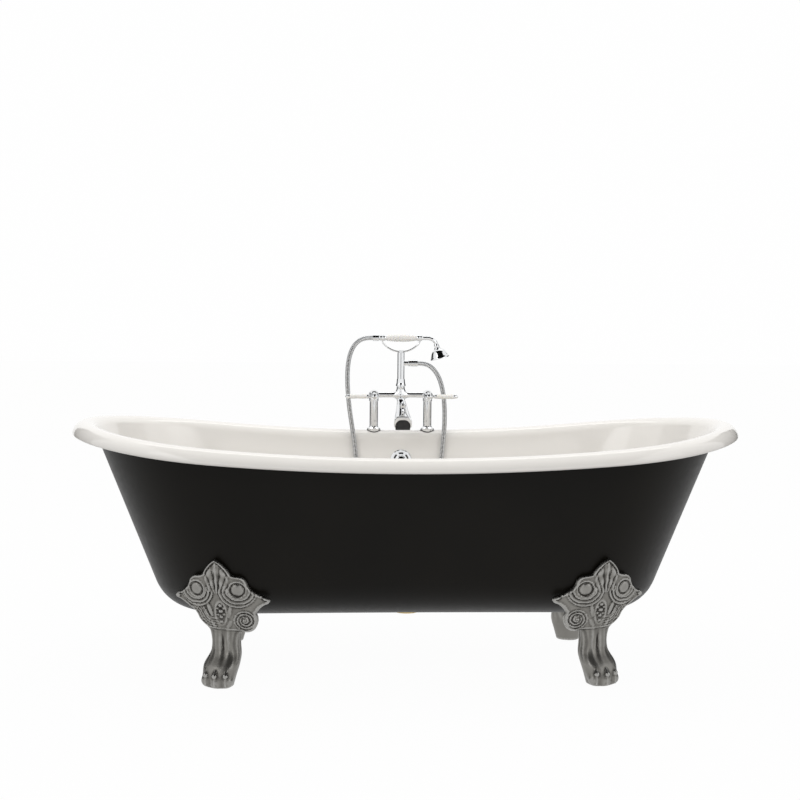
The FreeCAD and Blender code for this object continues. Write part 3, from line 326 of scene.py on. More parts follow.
def porcelain_material():
    """Glazed white porcelain."""
    material, nodes, links, shader = new_material("porcelain", (0.83, 0.82, 0.79), 0.1, coat=0.5)
    tint(nodes, links, shader, noise(nodes, links, 40.0),
         (0.3, (0.82, 0.81, 0.78)), (0.7, (0.85, 0.84, 0.82)))
    shader.inputs["Subsurface Weight"].default_value = 0.1
    shader.inputs["Subsurface Radius"].default_value = (0.004, 0.003, 0.002)
    return material


def rubber_material():
    """Black rubber."""
    material, nodes, links, shader = new_material("rubber", (0.02, 0.02, 0.02), 0.7)
    bump(nodes, links, shader, noise(nodes, links, 500.0), 0.2, 0.0003)
    return material


MATERIALS = {
    "black_iron": black_material(),
    "enamel": enamel_material(),
    "pewter": pewter_material(),
    "chrome": metal_material("chrome", (0.83, 0.84, 0.85), 0.06),
    "porcelain": porcelain_material(),
    "brass": metal_material("brass", (0.62, 0.46, 0.20), 0.32, strength=0.1),
    "steel": metal_material("steel", (0.45, 0.46, 0.47), 0.35, strength=0.1),
    "rubber": rubber_material(),
    "hose_metal": hose_material(),
}


def dress_nodes():
    """Gives each node of the frame the material of its slot."""
    slot_of = {entry["node"]: entry["material_slot"] for entry in frame["record"]["subparts"]}
    for name, node in NODES.items():
        node.data.materials.clear()
        node.data.materials.append(MATERIALS[slot_of[name]])


# ================================================================ meshes
def add_piece(name, vertices, faces, body, slot, replaced=(), smooth=True):
    """A mesh piece in metres that takes the finish of a slot, and rides on a body unless that is None."""
    mesh = bpy.data.meshes.new(name)
    mesh.from_pydata([tuple(v) for v in vertices], [], faces)
    mesh.update()
    piece = new_object(name, mesh)
    mesh.materials.append(MATERIALS[slot])
    if smooth:
        mesh.polygons.foreach_set("use_smooth", [True] * len(mesh.polygons))
    if body:
        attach(piece, body)
    if replaced:
        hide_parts(*replaced)
    return piece


def mark_cavity_shade(piece, values):
    """Gives each vertex how deep it lies in a recess, from 0 to 1, which the metal's painted shade and
    highlights follow.
    """
    attribute = piece.data.attributes.new("cavity", "FLOAT", "POINT")
    attribute.data.foreach_set("value", np.asarray(values, np.float32))


def ring_faces(rings, count, closed=False):
    """Faces between rings of count points, with flat ends unless the last ring joins the first."""
    faces = []
    for level in range(rings if closed else rings - 1):
        low, high = level * count, (level + 1) % rings * count
        for i in range(count):
            j = (i + 1) % count
            faces.append((low + i, low + j, high + j, high + i))
    if not closed:
        last = (rings - 1) * count
        faces.append(tuple(reversed(range(count))))
        faces.append(tuple(range(last, last + count)))
    return faces


def drill(piece, cutters, operation="DIFFERENCE"):
    """Cuts or joins round bars, each given as start, direction, radius and length in metres."""
    mesh = bpy.data.meshes.new("cutters")
    build = bmesh.new()
    for start, direction, radius, length in cutters:
        turn = Vector(direction).to_track_quat("Z", "Y").to_matrix().to_4x4()
        place = Matrix.Translation(Vector(start) + Vector(direction).normalized() * length / 2) @ turn
        bmesh.ops.create_cone(build, cap_ends=True, segments=48, radius1=radius, radius2=radius, depth=length,
                              matrix=place)
    build.to_mesh(mesh)
    build.free()
    bars = new_object("cutters", mesh)
    cut = piece.modifiers.new("cut", "BOOLEAN")
    cut.operation = operation
    cut.solver = "EXACT"
    cut.object = bars
    bpy.context.view_layer.update()
    result = bpy.data.meshes.new_from_object(piece.evaluated_get(bpy.context.evaluated_depsgraph_get()))
    piece.modifiers.clear()
    piece.data = result
    bpy.data.objects.remove(bars)


# ================================================================ tub
class WallSection:
    """A wall's section, as in the part: bottom corner arc, straight leaning wall, roll and round lip."""

    def __init__(self, half_width, crown, lean, corner):
        self.lean = math.radians(lean)
        self.corner = corner - SHELL
        self.roll_reach = half_width - ROLL_RADIUS
        self.roll_height = crown - ROLL_RADIUS
        self.corner_height = UNDERSIDE_HEIGHT + corner
        rise = self.roll_height - self.corner_height
        across = self.corner + ROLL_RADIUS + math.sin(self.lean) * rise
        self.corner_reach = self.roll_reach - across / math.cos(self.lean)

    def on_roll(self, radius, angle):
        """A point of the section at a radius round the roll's centre."""
        return self.roll_reach + radius * math.cos(angle), self.roll_height + radius * math.sin(angle)

    def wall(self, depth, corner_steps=16, wall_steps=10, roll_steps=26):
        """Points from the bottom over the roll to the lip at a depth from the enamel's face."""
        points = []
        for i in range(corner_steps + 1):
            angle = i / corner_steps * (math.pi / 2 - self.lean)
            radius = self.corner + depth
            points.append((self.corner_reach + radius * math.sin(angle),
                           self.corner_height - radius * math.cos(angle)))
        first, last = math.pi - self.lean, math.radians(ROLL_END)
        radius = ROLL_RADIUS - depth
        low, high = points[-1], self.on_roll(radius, first)
        for i in range(1, wall_steps):
            share = i / wall_steps
            points.append((low[0] + (high[0] - low[0]) * share, low[1] + (high[1] - low[1]) * share))
        for i in range(roll_steps + 1):
            points.append(self.on_roll(radius, first + (last - first) * i / roll_steps))
        return points

    def lip(self, radius, start, end, steps=5):
        """Part of a half circle round the lip's end, from the enamel's side at 0 to the inside at 180."""
        angle = math.radians(ROLL_END)
        centre = self.on_roll(ROLL_RADIUS - SHELL / 2, angle)
        points = []
        for i in range(steps + 1):
            turn = angle - math.radians(start + (end - start) * i / steps)
            points.append((centre[0] + radius * math.cos(turn), centre[1] + radius * math.sin(turn)))
        return points


END_SECTION = WallSection(TUB_LENGTH / 2, RIM_HEIGHT + RIM_RISE, END_LEAN, END_CORNER)
SIDE_SECTION = WallSection(TUB_WIDTH / 2, RIM_HEIGHT, SIDE_LEAN, SIDE_CORNER)
RIM_Y = SIDE_SECTION.roll_reach
HALF_LIP = SHELL / 2


def shell_ring(end_point, side_point, end_steps=36, side_steps=30):
    """A ring round the tub: half circles at the ends, straight sides, and higher towards both ends."""
    end_x, end_z = end_point
    side_y, side_z = side_point
    centre = end_x - side_y
    ring = []
    for side in (1, -1):
        for i in range(end_steps):
            angle = math.pi * (i / end_steps - 0.5)
            ring.append((side * (centre + side_y * math.cos(angle)), side * side_y * math.sin(angle)))
        for i in range(side_steps):
            ring.append((side * centre * (1 - 2 * i / side_steps), side * side_y))
    return [(x * MM, y * MM, (side_z + (end_z - side_z) * (x / end_x) ** 2) * MM) for x, y in ring]


def enamel_profile(section):
    """The enamel's face to the middle of the lip, and back along the iron."""
    front = section.wall(0.0) + section.lip(HALF_LIP, 0, 90)[1:]
    back = section.wall(ENAMEL) + section.lip(HALF_LIP - ENAMEL, 0, 90)[1:]
    return front + back[::-1]


def iron_profile(section):
    """The iron's face under the enamel to the middle of the lip, and back along the outside."""
    front = section.wall(ENAMEL) + section.lip(HALF_LIP - ENAMEL, 0, 90)[1:]
    back = section.wall(SHELL) + section.lip(HALF_LIP, 180, 90)[1:]
    return front + back[::-1]


def shell_piece(name, profile_of, node, slot):
    """A closed layer of the tub: rings along a profile that starts and ends at the flat bottom."""
    rings = [shell_ring(end, side) for end, side in zip(profile_of(END_SECTION), profile_of(SIDE_SECTION))]
    vertices = [point for ring in rings for point in ring]
    piece = add_piece(name, vertices, ring_faces(len(rings), len(rings[0])), "tub", slot, [node])
    build = bmesh.new()
    build.from_mesh(piece.data)
    bmesh.ops.recalc_face_normals(build, faces=build.faces)
    build.to_mesh(piece.data)
    build.free()
    return piece


def wall_reach(height):
    """How far back the enamel's straight side wall is at a height."""
    low, high = SIDE_SECTION.wall(0.0, 1, 1, 1)[1:3]
    return low[0] + (height - low[1]) * (high[0] - low[0]) / (high[1] - low[1])


def overflow_axis():
    """The overflow's middle on the enamel, and the direction out through the wall."""
    lean = math.radians(SIDE_LEAN)
    seat = Vector((0, wall_reach(OVERFLOW_HEIGHT), OVERFLOW_HEIGHT)) * MM
    return seat, Vector((0, math.cos(lean), -math.sin(lean)))


def make_tub():
    """The enamel and the iron, with the holes for waste, overflow and mixer, and a boss for each foot."""
    seat, out = overflow_axis()
    holes = [((0, 0, 0.10), UP, WASTE_HOLE * MM, 0.10), (seat - out * 0.02, out, OVERFLOW_HOLE * MM, 0.06)]
    for side in (-1, 1):
        holes.append(((side * LEG_X * MM, RIM_Y * MM, RIM_HEIGHT * MM - 0.02), UP, LEG_HOLE * MM, 0.04))
    turn = math.radians(FOOT_TURN)
    boss_x, boss_y = FOOT_X - FOOT_BOLT * math.sin(turn), FOOT_Y - FOOT_BOLT * math.cos(turn)
    bosses = [((boss_x * side_x * MM, boss_y * side_y * MM, 0.150), UP, BOSS_RADIUS * MM, 0.007)
              for side_x in (-1, 1) for side_y in (-1, 1)]
    enamel = shell_piece("tub_enamel", enamel_profile, "enamel_lining", "enamel")
    iron = shell_piece("tub_iron", iron_profile, "tub_casting", "black_iron")
    drill(iron, bosses, "UNION")
    for piece in (enamel, iron):
        drill(piece, holes)
        # level faces are shaded flat, or else the wide bottom would take its corners' shading
        for polygon in piece.data.polygons:
            if abs(polygon.normal.z) > 0.9999:
                polygon.use_smooth = False


# ================================================================ hose
def route_line(points, steps=26):
    """The smooth line of a route of points in millimetres."""
    curve = bpy.data.curves.new("route", "CURVE")
    curve.dimensions = "3D"
    curve.resolution_u = steps
    spline = curve.splines.new("NURBS")
    spline.points.add(len(points) - 1)
    for place, point in zip(points, spline.points):
        point.co = (place[0] * MM, place[1] * MM, place[2] * MM, 1.0)
    spline.order_u = 3
    spline.use_endpoint_u = True
    holder = new_object("route", curve)
    bpy.context.view_layer.update()
    mesh = bpy.data.meshes.new_from_object(holder)
    line = np.array([v.co[:] for v in mesh.vertices])
    bpy.data.objects.remove(holder)
    bpy.data.meshes.remove(mesh)
    return line


def lengths_along(line):
    """The length of a line from its start to each of its points."""
    return np.concatenate([[0.0], np.cumsum(np.linalg.norm(np.diff(line, axis=0), axis=1))])


def even_points(line, spacing):
    """Points of a line at even spacing, and the line's length."""
    along = lengths_along(line)
    wanted = np.linspace(0.0, along[-1], int(round(along[-1] / spacing)) + 1)
    return np.stack([np.interp(wanted, along, line[:, axis]) for axis in range(3)], axis=1), along[-1]


def tube_mesh(path, radii, sides):
    """Rings round a path, with frames carried along it without twist."""
    tangents = np.gradient(path, axis=0)
    tangents /= np.linalg.norm(tangents, axis=1)[:, None]
    normal = np.cross(tangents[0], (0.0, 1.0, 0.0))
    vertices = []
    for point, tangent, radius in zip(path, tangents, radii):
        normal = normal - tangent * np.dot(normal, tangent)
        normal /= np.linalg.norm(normal)
        other = np.cross(tangent, normal)
        for i in range(sides):
            angle = 2 * math.pi * i / sides
            vertices.append(point + (normal * math.cos(angle) + other * math.sin(angle)) * radius)
    return vertices, ring_faces(len(path), sides)


def make_hose():
    """The ribbed hose between the tub and the hand shower."""
    rib = 0.0036
    wave = [1.0, 0.97, 0.80, 0.97]
    # how deep each ring lies between the ribs, which sets the hose's painted shade
    hollow = [0.0, 0.25, 1.0, 0.25]
    sides = 16
    path, length = even_points(route_line(HOSE_ROUTE), rib / len(wave))
    radii = [HOSE_RADIUS * MM * wave[i % len(wave)] for i in range(len(path))]
    vertices, faces = tube_mesh(path, radii, sides)
    hose = add_piece("hose", vertices, faces, None, "hose_metal", ["shower_hose"])
    mark_cavity_shade(hose, [hollow[i % len(hollow)] for i in range(len(path)) for _ in range(sides)])
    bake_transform(hose)


# ================================================================ solid fields
# A field is a signed distance in millimetres on a grid, negative inside the shape.
def grid(low, high, step):
    """X, Y and Z of points that are a step apart, from one corner to just past the other."""
    axes = [np.arange(low[k], high[k] + step, step) for k in range(3)]
    return np.meshgrid(*axes, indexing="ij")


def smooth_min(a, b, k):
    """Joins two fields with a fillet of about k."""
    h = np.clip(0.5 + 0.5 * (b - a) / k, 0, 1)
    return b + (a - b) * h - k * h * (1 - h)


def smooth_max(a, b, k):
    """What two fields share, with an edge rounded by about k."""
    return -smooth_min(-a, -b, k)


def bell(value, width):
    """1 at a value of 0, and little beyond the width."""
    return np.exp(-(value / width) ** 2)


def averaged(line, reach):
    """Each value's mean with its neighbours up to a reach on each side."""
    width = 2 * reach + 1
    return np.convolve(np.pad(line, reach, mode="edge"), np.ones(width) / width, mode="valid")


def blurred(field, times):
    """A field that is averaged with its neighbours some times."""
    for _ in range(times):
        for axis in range(3):
            field = (np.roll(field, 1, axis) + field + np.roll(field, -1, axis)) / 3
    return field


def surface_nets(field, origin, step):
    """The field's zero surface as vertices and quads."""
    cells = np.array(field.shape) - 1
    sums = np.zeros((int(np.prod(cells)), 3))
    hits = np.zeros(int(np.prod(cells)))
    quads = []
    for axis in range(3):
        low = np.take(field, range(field.shape[axis] - 1), axis)
        high = np.take(field, range(1, field.shape[axis]), axis)
        where = np.argwhere((low < 0) != (high < 0))
        a = low[tuple(where.T)]
        b = high[tuple(where.T)]
        place = where.astype(float)
        place[:, axis] += a / (a - b)
        one, two = [k for k in range(3) if k != axis]
        inner = np.all((where[:, [one, two]] > 0) & (where[:, [one, two]] < cells[[one, two]]), axis=1)
        where, place, a = where[inner], place[inner], a[inner]
        ids = []
        for d_one, d_two in ((0, 0), (1, 0), (1, 1), (0, 1)):
            cell = where.copy()
            cell[:, one] -= d_one
            cell[:, two] -= d_two
            flat = np.ravel_multi_index(tuple(cell.T), tuple(cells))
            ids.append(flat)
            hits += np.bincount(flat, minlength=len(hits))
            for k in range(3):
                sums[:, k] += np.bincount(flat, weights=place[:, k], minlength=len(hits))
        quad = np.stack(ids, axis=1)
        flip = (a < 0) == (axis == 1)
        quad[flip] = quad[flip][:, ::-1]
        quads.append(quad)
    used = hits > 0
    number = np.cumsum(used) - 1
    vertices = sums[used] / hits[used][:, None] * step + np.array(origin)
    return vertices, number[np.concatenate(quads)]


# ================================================================ feet
FOOT_STEP = 1.8
FOOT_LOW, FOOT_SIZE = (-126.0, -62.0, -2.0), (252, 190, 324)
SHIELD_DRUM = 255.0
SHIELD_SHIFT = 16.0
SHIELD_SEAT = 3.0
SHIELD_LEAN = 14.0
SCROLL_HEIGHT = 239.0
SHELF_Y, SHELF_Z = 86, 146
SHELF_HALF = (26, 31, 4)
BOLT_HOLE = 5.5
LEG_TOP = 154

# The shield's edge down one side, as arcs through every second point: x and z in the foot's own frame.
CROWN_OUTLINE = [(0, 317), (11, 310), (22, 299), (31, 287), (35, 279), (43, 276), (53, 275)]
OUTER_OUTLINE = CROWN_OUTLINE + [
    (66, 270), (75, 255), (84, 240), (102, 229), (112, 226), (118, 219), (116, 211), (107, 207), (92, 199),
    (78, 190), (64, 180), (56, 164), (46, 152), (30, 140)]
INNER_OUTLINE = CROWN_OUTLINE + [
    (66, 268), (73, 252), (82, 238), (102, 224), (112, 220), (118, 213), (116, 206), (106, 200), (95, 192),
    (86, 180), (89, 163), (83, 144), (70, 131), (50, 132)]

# Beads on the cartouche: x from its middle line, z, radius and rise.
BEADS = ((0, 200, 5.0, 5.0), (0, 186, 6.0, 7.5), (0, 171, 4.6, 6.0), (0, 159, 3.8, 5.0),
         (7.5, 193, 3.2, 3.5), (7.5, 177, 3.2, 3.5))
# Leaves beside the cartouche: x, z, half width, half height, turn and rise.
LEAVES = ((22, 190, 6.0, 20.0, 0.30, 4.2), (33, 178, 5.0, 19.0, 0.42, 3.6), (15, 150, 5.0, 12.0, 0.5, 3.4),
          (-27, 184, 5.0, 18.0, -0.22, 3.4), (-24, 152, 5.0, 13.0, -0.5, 3.0))
# Claws of the paw: how far aside and how far forwards.
CLAWS = ((-25, 20), (0, 27), (25, 20))
PAW_SHIFT = -1.0

# The leg over its height: levels, half width, half depth, the middle's distance behind the shield and aside.
LEG_LEVELS = (0, 13, 29, 45, 61, 77, 96, 112, 130, 150, 170, 190, 210, 240)
LEG_HALF_WIDTH = (30, 35, 39, 44, 44, 37, 34.5, 34.5, 37, 41, 43, 42, 38, 30)
LEG_HALF_DEPTH = (30, 35, 38, 38, 34, 29, 26, 25, 26, 27, 24, 18, 13, 9)
LEG_BEHIND = (15, 13, 13, 16, 27, 40, 43, 44, 44, 41, 33, 24, 17, 10)
LEG_ASIDE = (-1, -1, -1, -1, -3, -6, -6, -5, -3, 0, 0, 0, 0, 0)


def polyline_distance(x, z, points):
    """Signed distance on a grid to a closed outline, negative inside."""
    best = np.full(x.shape, 1e9)
    inside = np.zeros(x.shape, bool)
    for (ax, az), (bx, bz) in zip(points, points[1:] + points[:1]):
        dx, dz = bx - ax, bz - az
        t = np.clip(((x - ax) * dx + (z - az) * dz) / (dx * dx + dz * dz + 1e-9), 0, 1)
        best = np.minimum(best, np.hypot(x - ax - t * dx, z - az - t * dz))
        crosses = (az > z) != (bz > z)
        with np.errstate(divide="ignore", invalid="ignore"):
            at = ax + (z - az) * dx / (dz if dz else 1e-9)
        inside ^= crosses & (x < at)
    return np.where(inside, -best, best)


def arc_chain(points, steps=8):
    """Points along arcs through every second point of a chain."""
    line = []
    for i in range(0, len(points) - 2, 2):
        (ax, az), (bx, bz), (cx, cz) = points[i:i + 3]
        d = 2 * (ax * (bz - cz) + bx * (cz - az) + cx * (az - bz))
        if abs(d) < 1e-6:
            line += [(ax, az), (bx, bz)]
            continue
        a_square, b_square, c_square = ax * ax + az * az, bx * bx + bz * bz, cx * cx + cz * cz
        middle_x = (a_square * (bz - cz) + b_square * (cz - az) + c_square * (az - bz)) / d
        middle_z = (a_square * (cx - bx) + b_square * (ax - cx) + c_square * (bx - ax)) / d
        radius = math.hypot(ax - middle_x, az - middle_z)
        first, through, last = (math.atan2(z - middle_z, x - middle_x) for x, z in points[i:i + 3])
        sweep = (last - first) % (2 * math.pi)
        if (through - first) % (2 * math.pi) > sweep:
            sweep -= 2 * math.pi
        for k in range(steps):
            angle = first + sweep * k / steps
            line.append((middle_x + radius * math.cos(angle), middle_z + radius * math.sin(angle)))
    line.append(points[-1])
    return line


def eased(value, levels, values):
    """Values over levels, joined by a line without kinks."""
    fine = np.arange(-20.0, 360.0, 2.0)
    return np.interp(value, fine, averaged(np.interp(fine, levels, values), 5))


def dome(x, z, middle_x, middle_z, radius, rise):
    """A round boss on the shield."""
    return rise * np.sqrt(np.clip(1 - (np.hypot(x - middle_x, z - middle_z) / radius) ** 2, 0, 1))


def palmette(x, z, edge):
    """The crown's leaflets, which fan out of its base inside a smooth border."""
    crown = np.clip((z - 226) / 14, 0, 1) * np.clip((31 - x) / 5, 0, 1)
    inside = crown * np.clip((edge - 6.5) / 2.5, 0, 1)
    fan = np.degrees(np.arctan2(x, z - 206))
    reach = np.hypot(x, z - 206)
    border = 1.2 * bell(edge - 3.4, 2.6) - 2.4 * bell(edge - 7.6, 1.6)
    leaflets = 3.4 * np.abs(np.cos(np.radians(fan * 180 / 13.0))) ** 0.7 - 1.2
    veins = 1.3 * np.sin(reach / 4.1 + fan * 0.13)
    ridge = 2.6 * bell(x, 2.6) * bell(z - 262, 40.0)
    return crown * border + inside * (leaflets + veins + ridge)


def volutes(x, z, edge, outer):
    """The upper volutes: an eye in a round channel, shells that sweep to the wing below it, and beads."""
    dx, dz = x - np.where(outer, 54.0, 49.0), z - 240
    radius = np.hypot(dx, dz)
    turn = np.arctan2(dz, dx)
    height = 6.0 * np.clip(1 - (radius / 15.5) ** 2, 0, 1) ** 0.8 - 0.9 * bell(radius - 17.0, 1.8)
    height += 2.2 * bell(radius - 20.5, 2.4) * np.clip(edge / 3, 0, 1)
    below = np.clip((-np.sin(turn - 0.2) + 0.45) * 1.8, 0, 1) * (z < 262)
    swept = radius - 4.0 * np.clip(dx / 40, 0, 1) - 18.5
    shells = (np.clip(swept / 9.0, 0, 2.999) % 1.0) ** 0.8 * np.clip(swept / 4, 0, 1)
    height += 4.2 * below * shells * np.clip((45.5 - radius) / 1.2, 0, 1)
    for along, rise in ((0.15, 3.0), (0.42, 2.6), (0.68, 2.4)):
        height += dome(x, z, 80 + 30 * along, 240 - 22 * along, 3.6, rise)
    return height + dome(x, z, 110, 217, 6.5, 5.5)


def lower_scrolls(x, z, edge, outer):
    """Below the wings: a scroll on the inner side, and long ribs that run to the leg on the outer side."""
    dx, dz = x + 61, z - 161
    radius = np.hypot(dx, dz)
    coil = (radius + 2.0 * np.degrees(np.arctan2(dz, dx)) / 90.0) / 7.2
    scroll = np.clip((27 - radius) / 2, 0, 1) * (2.8 * np.sin(coil * math.pi) ** 2 - 0.6)
    ribbed = outer * np.clip((205 - z) / 12, 0, 1) * np.clip((34 - edge) / 6, 0, 1)
    ribs = ribbed * (2.2 * np.abs(np.sin(edge / 6.4 * math.pi)) - 1.2)
    return scroll + ribs + dome(x, z, -61, 161, 8.0, 4.5)


def cartouche(x, z):
    """An oval frame with beads between the volutes, and the leaves beside it."""
    aside = np.abs(x + 6)
    ring = (np.sqrt((aside / 13.5) ** 2 + ((z - 180) / 29.0) ** 2) - 1) * 13.5
    height = 2.6 * bell(ring, 3.0) - 1.8 * np.clip(-ring / 3, 0, 1)
    for bead in BEADS:
        height += dome(aside, z, *bead)
    for leaf_x, leaf_z, half_width, half_height, turn, rise in LEAVES:
        dx, dz = x - leaf_x, z - leaf_z
        across = (dx * math.cos(turn) - dz * math.sin(turn)) / half_width
        up = (dx * math.sin(turn) + dz * math.cos(turn)) / half_height
        height += rise * np.sqrt(np.clip(1 - across ** 2 - up ** 2, 0, 1))
    return height


def relief(x, z, outline):
    """How far the shield's ornament stands out of the drum. +X is the side towards the tub's end."""
    edge, outer = -outline, x > 0
    swell = 6.0 + 2.5 * np.clip(edge / 4, 0, 1) + 5.0 * bell(x, 34.0) * bell(z - 205, 60.0)
    border = 2.2 * bell(edge - 3.6, 2.4)
    upper = palmette(np.abs(x), z, edge) + volutes(np.abs(x), z, edge, outer)
    return swell + border + upper + lower_scrolls(x, z, edge, outer) + cartouche(x, z)


def leg_field(x, y, z):
    """The cabriole leg and the paw, as rounded ovals stacked over the height."""
    half_width = eased(z, LEG_LEVELS, LEG_HALF_WIDTH)
    half_depth = eased(z, LEG_LEVELS, LEG_HALF_DEPTH)
    aside = (x - eased(z, LEG_LEVELS, LEG_ASIDE)) / half_width
    middle = eased(z, LEG_LEVELS, LEG_BEHIND)
    behind = (y - middle) / half_depth
    radius = (np.abs(aside) ** 2.3 + np.abs(behind) ** 2.3) ** (1 / 2.3)
    angle = np.arctan2(aside, -behind)
    upper = np.clip((z - 46) / 26, 0, 1)
    strands = np.sin(angle * 8 + 1.3 * np.sin(z / 21.0)) + 0.6 * np.sin(angle * 15 - 1.7 * np.sin(z / 13.0))
    groove = bell(x + 9 - 6 * np.sin((z - 80) / 30.0), 4.0) * bell(z - 104, 30.0) * (y < middle)
    ridge = bell(x + 24 - 5 * np.sin((z - 80) / 30.0), 4.5) * bell(z - 106, 26.0) * (y < middle)
    skin = 0.65 * strands * upper - 2.6 * groove + 2.4 * ridge
    body = (radius - 1) * np.minimum(half_width, half_depth) - skin
    return smooth_max(body, z - 226, 16.0)


def capsule(x, y, z, start, end, first, last):
    """A round cone from a start to an end."""
    a, b = np.array(start, float), np.array(end, float)
    d = b - a
    t = np.clip(((x - a[0]) * d[0] + (y - a[1]) * d[1] + (z - a[2]) * d[2]) / np.dot(d, d), 0, 1)
    away = np.sqrt((x - a[0] - t * d[0]) ** 2 + (y - a[1] - t * d[1]) ** 2 + (z - a[2] - t * d[2]) ** 2)
    return away - (first + (last - first) * t)


def shield_field(x, y, z):
    """The shield on its drum, and how far each point is in front of the drum."""
    flat_x, flat_z = x[:, 0], z[:, 0]
    inner = [(-point_x, point_z) for point_x, point_z in reversed(arc_chain(INNER_OUTLINE))]
    outline = polyline_distance(flat_x, flat_z, arc_chain(OUTER_OUTLINE) + inner)
    height = relief(flat_x, flat_z, outline)
    lean = math.radians(SHIELD_LEAN)
    back = (y - SHIELD_SEAT) * math.cos(lean) + (z - SCROLL_HEIGHT) * math.sin(lean)
    over = np.hypot(x - SHIELD_SHIFT, back - SHIELD_DRUM) - SHIELD_DRUM
    shield = smooth_max(outline[:, None, :], over - height[:, None, :], 5.0)
    return smooth_max(shield, -over, 1.5), over


def foot_surface():
    """The front right foot in its own frame, in millimetres: vertices, quads and the cavity value for its
    painted shade and highlights.
    """
    axes = [FOOT_LOW[k] + FOOT_STEP * np.arange(int(FOOT_SIZE[k] / FOOT_STEP) + 1) for k in range(3)]
    x, y, z = np.meshgrid(*axes, indexing="ij")
    shield, over = shield_field(x, y, z)
    field = smooth_min(shield, leg_field(x, y, z), 8.0)
    paw = x - PAW_SHIFT
    for aside, forward in CLAWS:
        knuckle = capsule(paw, y, z, (aside * 0.92, 10, 38), (aside, 13 - forward, 17), 15.5, 15.5)
        field = smooth_min(field, knuckle, 6.0)
    for aside, forward in CLAWS:
        sheath = capsule(paw, y, z, (aside, 7 - forward, 43), (aside, -forward, 33), 3.0, 7.0)
        claw = capsule(paw, y, z, (aside, 1 - forward, 29), (aside * 1.03, -1 - forward, 7), 3.6, 2.0)
        field = smooth_min(smooth_min(field, sheath, 2.5), claw, 2.0)
    # the shelf under the tub's boss, with the bolt's hole
    half_x, half_y, half_z = SHELF_HALF
    shelf = np.maximum(np.abs(x) - half_x, np.abs(y - SHELF_Y) - half_y)
    shelf = np.maximum(shelf, np.abs(z - SHELF_Z) - half_z)
    bolt_hole = np.hypot(x, y - FOOT_BOLT) - BOLT_HOLE
    field = np.minimum(field, np.maximum(shelf, -bolt_hole))
    # nothing reaches behind the shield into the tub, nor below the floor
    field = np.where(z > LEG_TOP, np.maximum(field, -over), field)
    field = np.maximum(field, -z)
    vertices, quads = surface_nets(field, FOOT_LOW, FOOT_STEP)
    # how deep each point lies in a recess, for the painted shade in the recesses and the painted highlights
    # on the ridges
    hollow, wide = blurred(field, 2) - field, blurred(field, 5) - field
    nearest = np.rint((vertices - np.array(FOOT_LOW)) / FOOT_STEP).astype(int)
    index = tuple(np.clip(nearest, 0, np.array(field.shape) - 1).T)
    cavity = np.clip(0.45 - hollow[index] * 0.50 - wide[index] * 0.16, 0, 1)
    return vertices, quads, cavity


def make_feet():
    """The four feet: the front right one, and its mirror images."""
    vertices, quads, cavity = foot_surface()
    turn = math.radians(FOOT_TURN)
    x = vertices[:, 0] * math.cos(turn) - vertices[:, 1] * math.sin(turn) + FOOT_X
    y = vertices[:, 0] * math.sin(turn) + vertices[:, 1] * math.cos(turn) - FOOT_Y
    for end, side_y in (("front", 1), ("back", -1)):
        for side, side_x in (("right", 1), ("left", -1)):
            name = end + "_" + side
            placed = np.stack([x * side_x, y * side_y, vertices[:, 2]], axis=1) * MM
            faces = quads if side_x * side_y > 0 else quads[:, ::-1]
            foot = add_piece("claw_foot_" + name, placed, faces.tolist(), "tub", "pewter", ["foot_" + name])
            # painted shade in the foot's recesses and painted highlights on its ridges
            mark_cavity_shade(foot, cavity)


# ================================================================ mixer and hand shower
CASTING_STEP = 0.9
BAR_RADIUS = 8.2
BALL_RADIUS = 14.5
VALVE_NECK_RADIUS, VALVE_NECK_REACH = 11.5, 25
SOCKET_RADIUS, SOCKET_DEPTH = 13.5, 17.5
# The upright's radii at heights over the bar.
POST_HEIGHTS = (-38, -30, -14, 0, 14, 23)
POST_RADII = (13.0, 12.4, 10.6, 10.6, 10.8, 12.0)
# The spout's stations, as distances forwards from the rim's middle, with its shape over the bar at each.
SPOUT_STATIONS = (12.5, 37, 67, 97, 127)
SPOUT_BOTTOM = (-33, -41, -57, -75, -87)
SPOUT_TOP = (-7, -12, -22, -36, -49)
SPOUT_HALF_WIDTH = (12, 13.5, 16.5, 21, 24.5)
MOUTH_RISE = 7.0
MOUTH_HALF_WIDTH, MOUTH_HALF_HEIGHT, MOUTH_CORNER = 20.5, 21.0, 17.0
MOUTH_DEPTH = 6.5
OUTLET_Y = 227.0
OUTLET_RADIUS = 9.0
OUTLET_TOP = 26.0
# The hand shower's neck: its radii over its length, and where it meets the rose.
NECK_LENGTHS = (0, 3, 4, 14, 16, 18, 60, 66)
NECK_RADII = (7.6, 8.8, 8.8, 8.8, 7.6, 6.0, 5.4, 7.4)
ROSE_SEAT = (100.4, RIM_Y, 800.4)
# The rose: its tilt out of the vertical, and its radii over its depth.
ROSE_TILT = 15.0
ROSE_DEPTHS = (0, 2, 4, 5, 7, 10, 14, 19, 25, 29, 31)
ROSE_RADII = (7.4, 9.0, 9.0, 10.5, 14.5, 18.0, 20.5, 22.8, 25.4, 27.8, 28.0)
# The overflow's dark rubber ring, which also gives the plate's slots painted shade: inner and outer radius,
# and its depths behind the enamel's face.
SEAL_SHADE_RADII = (15.0, 20.8)
SEAL_SHADE_DEPTHS = (0.1, 0.7)


def rounded_box(across, up, half_across, half_up, radius):
    """Signed distance in a plane to a rectangle with rounded corners."""
    dx = np.abs(across) - half_across + radius
    dz = np.abs(up) - half_up + radius
    return np.hypot(np.maximum(dx, 0), np.maximum(dz, 0)) + np.minimum(np.maximum(dx, dz), 0) - radius


def add_casting(name, field, low, slot, replaced=()):
    """A piece on the tub from a field."""
    vertices, quads = surface_nets(field, low, CASTING_STEP)
    add_piece(name, vertices * MM, quads.tolist(), "tub", slot, replaced)


